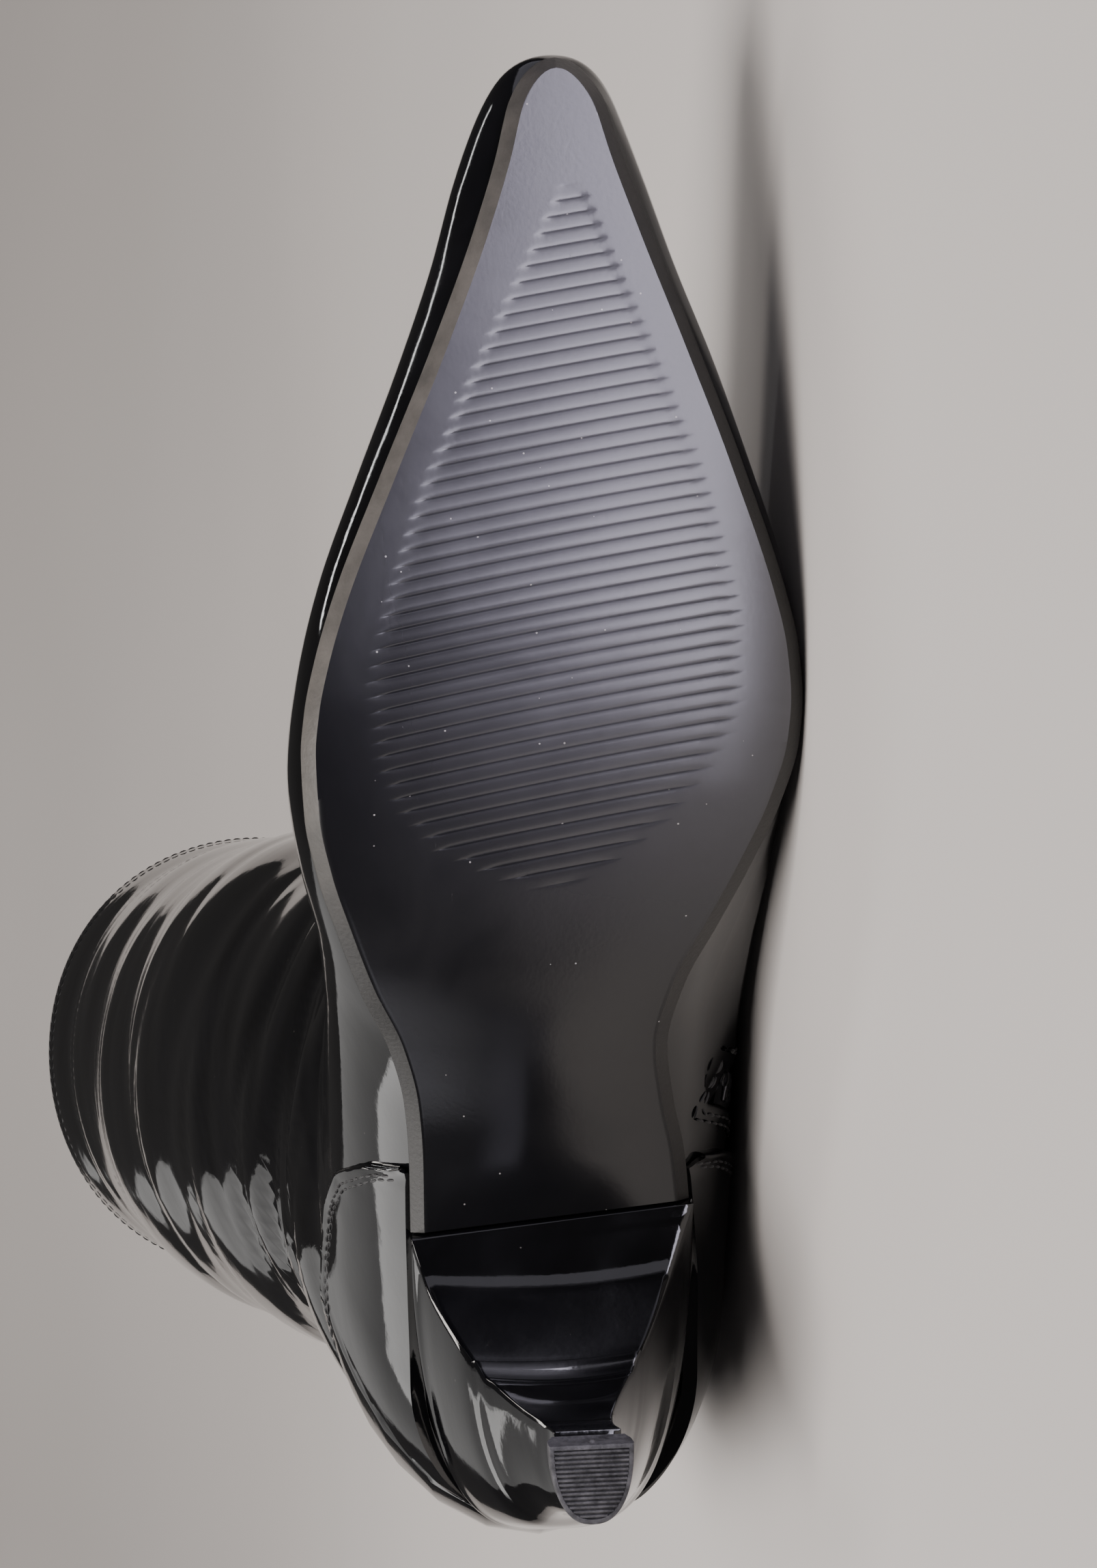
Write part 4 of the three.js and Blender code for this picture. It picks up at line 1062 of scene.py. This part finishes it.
def zip_coil(trim):
    """The closed chain: woven tape under a coil of oval turns that mesh along the middle."""
    outline = ((-3.4, -0.7), (-2.9, -0.45), (-1.6, -0.5), (0, -0.75), (1.6, -0.5), (2.9, -0.45),
               (3.4, -0.7), (3.4, -1.6), (-3.4, -1.6), (-3.4, -0.7))
    rows = [[p + u * k + n * h for k, h in outline] for p, u, v, n in zip_frames(3.0, 0.3, 1.0)]
    tape = form("zip_strip", rows, zip_nylon("zip_tape_woven", 0.8, "#0d0d0f", "#242427"), fill=True)
    turn = add_shape("coil_turn", bpy.ops.mesh.primitive_torus_add, major_segments=10, minor_segments=5,
                     major_radius=1.0, minor_radius=0.5, rotation=(0, math.pi / 2, 0))
    bpy.ops.object.transform_apply(rotation=True)
    for v in turn.data.vertices:
        x, y, z = v.co
        v.co = (x * 0.9, y * 1.12, z * 0.46 - 0.42)
    places = []
    for i, (p, u, v, n) in enumerate(zip_frames(trim.coil_pitch * 1000, 0.5, 1.2)):
        side = 1.12 if i % 2 else -1.12
        places.append((p + u * side, v + u * 0.08 * side, n))
    coil = repeat("zip_teeth", turn, places, zip_nylon("zip_coil_nylon", 0.33, "#0b0b0d", "#2f3034"))
    return join("zip_coil", [tape, coil])


def make_zip(trim):
    """Nylon zip: its coil, the end stop and two seams on each side."""
    finish(zip_coil(trim), "boot", "zip_tape", "zip_chain")
    p, u, v, n = zip_frames(4.0, 1.4, 1.0)[0]
    stop = small_block("zip_stop", (5.2, 2.2, 0.9), 0.3, 3)
    set_down(stop, p - n * 0.35 + corners(stop) @ np.array([u, v, n]), gunmetal("zip_metal_dark"))
    finish(stop, "boot", "zip_metal")
    lines = []
    for side in (-1, 1):
        for inset in (2.0, 3.5):
            points = []
            ways = []
            for s in np.arange(ZIP_ROW - 0.38, 28.8, 0.05):
                q = max(s, ZIP_ROW)
                close = 0.16 + 0.84 * float(smooth((s - ZIP_ROW + 0.42) / 0.42))
                t = zip_share(q) + side * float(zip_spread(q, (ZIP_HALF + GAP + inset) * close))
                if t < BACK_SHARE:
                    point, way = spot(s, t)
                    points.append(point + way * 0.34)
                    ways.append(way)
            lines.append((points, ways))
    return seam("zip_stitches", lines, trim)


def small_metal(name, node, body, width):
    """A hard small part: a merged copy of its CAD solid with every edge rounded over."""
    obj = bpy.data.objects.new(name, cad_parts[node].data.copy())
    bpy.context.collection.objects.link(obj)
    obj.data.name = name
    obj.data.materials.clear()
    obj.data.materials.append(gunmetal("zip_metal_dark"))
    edit_all(obj, (bpy.ops.mesh.remove_doubles, {"threshold": MERGE}),
             (bpy.ops.mesh.dissolve_limited, {"angle_limit": math.radians(2)}))
    modifier(obj, "BEVEL", width=width, segments=3, limit_method="ANGLE", angle_limit=math.radians(30))
    return finish(obj, body, "zip_metal", node)


def make_sock():
    """The sock on its board: cupped to the last, its edge pressed thin."""
    across = np.linspace(-1, 1, 17)
    u = np.abs(across)
    rows = []
    for i in range(61):
        x = 8 + 238 * (1 - math.cos(math.pi * i / 60)) / 2
        middle, half = (float(v) for v in edge_at(x))
        w = max(0.5, half - 4.4) * float(nose(min(x - 8, 246 - x) / 16 + 0.1))
        z = float(seat_z(x)) + GAP + 1.75 + 0.7 * u ** 4 - 0.5 * u ** 16
        rows.append(np.stack([np.full(17, x), middle + w * across, z], 1))
    obj = form("sock", rows, sock_leather("sock_leather"))
    modifier(obj, "SOLIDIFY", thickness=0.0016, offset=-1)
    modifier(obj, "BEVEL", width=0.0003, segments=2, limit_method="ANGLE", angle_limit=math.radians(50))
    return finish(obj, "boot", "sock", "insole")


def make_seams(trim):
    """The collar's hem stitching and the two rows beside the back seam of the leg."""
    lines = []
    s = 28.845
    wide = float(zip_spread(s, ZIP_HALF + 4.5))
    t = np.linspace(-0.999, 0.999, 300)
    for part in (t[t < zip_share(s) - wide], t[t > zip_share(s) + wide]):
        lines.append((section(s, part) + outward(s, part) * 0.5, outward(s, part)))
    for side in (-1, 1):
        spots = [spot(s, side * (1 - 0.034)) for s in np.arange(22.2, 28.75, 0.05)]
        lines.append(([point + way * 0.1 for point, way in spots], [way for point, way in spots]))
    return seam("leg_stitches", lines, trim)


def light(name, place, aim, size, power, colour):
    """One softbox as an area light that the camera doesn't see."""
    bpy.ops.object.light_add(type="AREA", location=place)
    lamp = bpy.context.object
    lamp.name = name
    lamp.data.shape = "RECTANGLE"
    lamp.data.size, lamp.data.size_y = size
    lamp.data.energy = power
    lamp.data.color = srgb(colour)
    lamp.rotation_euler = (Vector(aim) - Vector(place)).to_track_quat("-Z", "Y").to_euler()
    lamp.visible_camera = False


def make_stage(stage):
    """Pale paper sweep, soft studio light, and the camera at the photograph's angle to the sole."""
    profile = [(-0.50, 0.0), (-0.2, 0.0), (0.3, 0.0), (0.65, 0.0)]
    profile += [(0.65 + 2.4 * math.sin(a), 2.4 - 2.4 * math.cos(a)) for a in np.linspace(0.04, 0.46, 12)]
    paper = add_shape("paper_sweep", bpy.ops.mesh.primitive_grid_add, x_subdivisions=4,
                      y_subdivisions=len(profile) - 1, size=1)
    co = [(x, y, z) for y, z in profile for x in (-3.5, -1.75, 0, 1.75, 3.5)]
    paper.data.vertices.foreach_set("co", np.array(co, float).ravel())
    paper.data.materials.append(studio_paper("studio_paper", stage.paper))
    select_only(paper)
    bpy.ops.object.shade_smooth()
    world = bpy.data.worlds.new("studio")
    bpy.context.scene.world = world
    world.use_nodes = True
    tree = world.node_tree
    tree.nodes["Background"].inputs["Color"].default_value = rgba("#c4bfbd")
    ray = add_node(tree, "ShaderNodeLightPath")
    seen = add_node(tree, "ShaderNodeMath", {0: ray.outputs["Is Camera Ray"], 1: 0.8}, operation="MULTIPLY")
    fill = add_node(tree, "ShaderNodeMath", {0: seen.outputs[0], 1: stage.fill}, operation="MAXIMUM")
    tree.links.new(fill.outputs[0], tree.nodes["Background"].inputs["Strength"])
    k = stage.power
    light("front_softbox", (-0.65, -0.9, 1.45), (-0.2, -0.3, 0.0), (1.5, 1.2), 46 * k, "#fffaf6")
    light("far_softbox", (0.2, 1.0, 1.9), (0.1, 0.9, 0.0), (1.4, 0.3), 9 * k, "#fff8f2")
    light("side_panel", (-0.42, 0.9, 1.0), (1.0, 0.9, 1.0), (2.2, 1.3), 2.8 * k, "#fffdfb")
    light("toe_strip", (0.65, 0.55, 0.88), (0.08, -0.3, 0.06), (0.7, 0.05), 0.7 * k, "#ffffff")
    light("waist_panel", (-0.9, -0.42, 0.16), (-0.1, -0.25, 0.02), (0.35, 0.2), 0.25 * k, "#f6f4ff")
    light("heel_wash", (-0.95, 0.3, 1.1), (-0.5, 0.25, 0.0), (1.1, 1.0), 6 * k, "#fffdfb")
    light("toe_panel", (0.9, -0.55, 0.25), (0.0, -0.3, 0.05), (0.9, 0.5), 1.0 * k, "#f3f0ff")
    light("floor_card", (0.26, -0.635, 0.004), (0.26, -0.635, 1.0), (0.6, 0.53), 8 * k, "#f0ecff")

    bpy.ops.object.camera_add()
    camera = bpy.context.object
    camera.name = "photo_camera"
    aim = np.array([134.3, -6.24, 0.0])
    place = aim - stage.distance * 1000 * np.array([0, math.tan(stage.yaw), 1.0])
    way = lay_way((0, math.sin(stage.yaw), math.cos(stage.yaw))).normalized()
    right = way.cross(lay_way((1.0, stage.roll, 0)).normalized()).normalized()
    turn = Matrix((right, right.cross(way), -way)).transposed().to_4x4()
    turn.translation = Vector(lay(place)[0])
    camera.matrix_world = turn
    camera.data.sensor_fit = "VERTICAL"
    camera.data.sensor_height = SENSOR_HIGH
    camera.data.lens = stage.focal * SENSOR_HIGH / PHOTO_HIGH
    camera.data.clip_start = 0.02
    bpy.context.scene.camera = camera


class BootFinish(bpy.types.PropertyGroup):
    patent: bpy.props.FloatVectorProperty(
        name="Patent colour", description="Colour under the lacquer", subtype="COLOR", size=3,
        default=srgb("#060607"), min=0, max=1)
    gloss: bpy.props.FloatProperty(
        name="Patent roughness", description="Roughness of the lacquer", subtype="FACTOR",
        default=0.05, min=0.01, max=0.5)
    # Forepart colour: partly dust, partly a painted sheen on the black rubber.
    forepart: bpy.props.FloatVectorProperty(
        name="Forepart colour", description="Colour of the dusty, rubbed forepart of the sole",
        subtype="COLOR", size=3, default=srgb("#5a595f"), min=0, max=1)
    waist: bpy.props.FloatVectorProperty(
        name="Waist colour", description="Colour of the clean rubber at the waist", subtype="COLOR",
        size=3, default=srgb("#0e0e10"), min=0, max=1)
    # Bevel colour, put only on the upper, outer side: real grinding grey, kept where light falls, so partly
    # painted light.
    bevel: bpy.props.FloatVectorProperty(
        name="Bevel colour", description="Colour of the ground bevel on the outer side",
        subtype="COLOR", size=3, default=srgb("#69645d"), min=0, max=1)


class BootTrim(bpy.types.PropertyGroup):
    wall: bpy.props.FloatProperty(
        name="Wall", description="Thickness of leather and lining together", unit="LENGTH",
        default=0.0018, min=0.001, max=0.003)
    groove_pitch: bpy.props.FloatProperty(
        name="Groove pitch", description="Distance from one tread groove to the next", unit="LENGTH",
        default=0.00245, min=0.0015, max=0.01)
    groove_depth: bpy.props.FloatProperty(
        name="Groove depth", description="Depth of the tread grooves", unit="LENGTH",
        default=0.00042, min=0.0001, max=0.0015)
    stitch: bpy.props.FloatProperty(
        name="Stitch", description="Length of one stitch", unit="LENGTH",
        default=0.0024, min=0.001, max=0.006)
    coil_pitch: bpy.props.FloatProperty(
        name="Coil pitch", description="Half the distance between turns of one side of the zip",
        unit="LENGTH", default=0.0009, min=0.0006, max=0.004)


class BootStage(bpy.types.PropertyGroup):
    paper: bpy.props.FloatVectorProperty(
        name="Paper colour", description="Colour of the studio paper", subtype="COLOR", size=3,
        default=srgb("#bab5b2"), min=0, max=1)
    fill: bpy.props.FloatProperty(
        name="Fill", description="Strength of the even light from all round", default=0.06, min=0, max=3)
    power: bpy.props.FloatProperty(
        name="Softboxes", description="Strength of all softboxes together", default=1.0, min=0, max=10)
    distance: bpy.props.FloatProperty(
        name="Distance", description="Camera to the middle of the sole", unit="LENGTH",
        default=0.588, min=0.2, max=3)
    yaw: bpy.props.FloatProperty(
        name="Yaw", description="Turn of the camera to the outer side", unit="ROTATION",
        default=math.radians(5.5), min=0, max=0.5)
    roll: bpy.props.FloatProperty(
        name="Roll", description="Lean of the boot's long axis in the picture",
        default=0.0295, min=-1, max=1)
    focal: bpy.props.FloatProperty(
        name="Focal length", description="In pixels of the 1607 by 2296 picture",
        default=5400, min=500, max=20000)


class BootOperator:
    """What the operators share."""
    bl_options = {"REGISTER", "UNDO"}


class BOOT_OT_upper(BootOperator, bpy.types.Operator):
    """Shape the upper and its leg"""
    bl_idname = "boot.upper"
    bl_label = "Upper"

    def execute(self, context):
        make_upper(context.scene.boot_finish, context.scene.boot_trim)
        return {"FINISHED"}


class BOOT_OT_counter(BootOperator, bpy.types.Operator):
    """Lay the counter round the heel and stitch it"""
    bl_idname = "boot.counter"
    bl_label = "Counter"

    def execute(self, context):
        make_counter(context.scene.boot_finish, context.scene.boot_trim)
        return {"FINISHED"}


class BOOT_OT_outsole(BootOperator, bpy.types.Operator):
    """Shape the sole with its tread and bevel"""
    bl_idname = "boot.outsole"
    bl_label = "Outsole"

    def execute(self, context):
        make_outsole(context.scene.boot_finish, context.scene.boot_trim)
        return {"FINISHED"}


class BOOT_OT_heel(BootOperator, bpy.types.Operator):
    """Shape the heel block and its top piece"""
    bl_idname = "boot.heel"
    bl_label = "Heel"

    def execute(self, context):
        make_heel(context.scene.boot_finish)
        make_top_piece()
        return {"FINISHED"}


class BOOT_OT_zip(BootOperator, bpy.types.Operator):
    """Set in the zip with its coil, stop and seams"""
    bl_idname = "boot.zip"
    bl_label = "Zip"

    def execute(self, context):
        make_zip(context.scene.boot_trim)
        return {"FINISHED"}


class BOOT_OT_slider(BootOperator, bpy.types.Operator):
    """Add the zip's slider and pull tab"""
    bl_idname = "boot.slider"
    bl_label = "Slider and pull"

    def execute(self, context):
        small_metal("slider_body", "zip_slider", "boot", 0.00028)
        small_metal("pull_tab", "zip_pull", "pull", 0.00022)
        return {"FINISHED"}


class BOOT_OT_sock(BootOperator, bpy.types.Operator):
    """Lay the sock inside"""
    bl_idname = "boot.sock"
    bl_label = "Sock"

    def execute(self, context):
        make_sock()
        return {"FINISHED"}


class BOOT_OT_seams(BootOperator, bpy.types.Operator):
    """Stitch the collar and the back of the leg"""
    bl_idname = "boot.seams"
    bl_label = "Leg seams"

    def execute(self, context):
        make_seams(context.scene.boot_trim)
        return {"FINISHED"}


class BOOT_OT_stage(BootOperator, bpy.types.Operator):
    """Set the paper, the lights and the camera"""
    bl_idname = "boot.stage"
    bl_label = "Stage"

    def execute(self, context):
        make_stage(context.scene.boot_stage)
        return {"FINISHED"}


OPERATORS = (BOOT_OT_upper, BOOT_OT_counter, BOOT_OT_outsole, BOOT_OT_heel, BOOT_OT_zip, BOOT_OT_slider,
             BOOT_OT_sock, BOOT_OT_seams, BOOT_OT_stage)
GROUPS = {"boot_finish": BootFinish, "boot_trim": BootTrim, "boot_stage": BootStage}


class BOOT_PT_panel(bpy.types.Panel):
    """The boot's pieces and sizes in the sidebar"""
    bl_label = "Boot"
    bl_idname = "BOOT_PT_panel"
    bl_space_type = "VIEW_3D"
    bl_region_type = "UI"
    bl_category = "Boot"

    def draw(self, context):
        for name, group in GROUPS.items():
            box = self.layout.box()
            for field in group.__annotations__:
                box.prop(getattr(context.scene, name), field)
        for operator in OPERATORS:
            self.layout.operator(operator.bl_idname)


def register():
    for cls in (*GROUPS.values(), *OPERATORS, BOOT_PT_panel):
        bpy.utils.register_class(cls)
    for name, group in GROUPS.items():
        setattr(bpy.types.Scene, name, bpy.props.PointerProperty(type=group))


def unregister():
    for name in GROUPS:
        delattr(bpy.types.Scene, name)
    for cls in (BOOT_PT_panel, *OPERATORS[::-1], *GROUPS.values()):
        bpy.utils.unregister_class(cls)


def main():
    register()
    bpy.ops.boot.upper()
    bpy.ops.boot.counter()
    bpy.ops.boot.outsole()
    bpy.ops.boot.heel()
    bpy.ops.boot.zip()
    bpy.ops.boot.slider()
    bpy.ops.boot.sock()
    bpy.ops.boot.seams()
    bpy.ops.boot.stage()


if __name__ == "__main__":
    main()
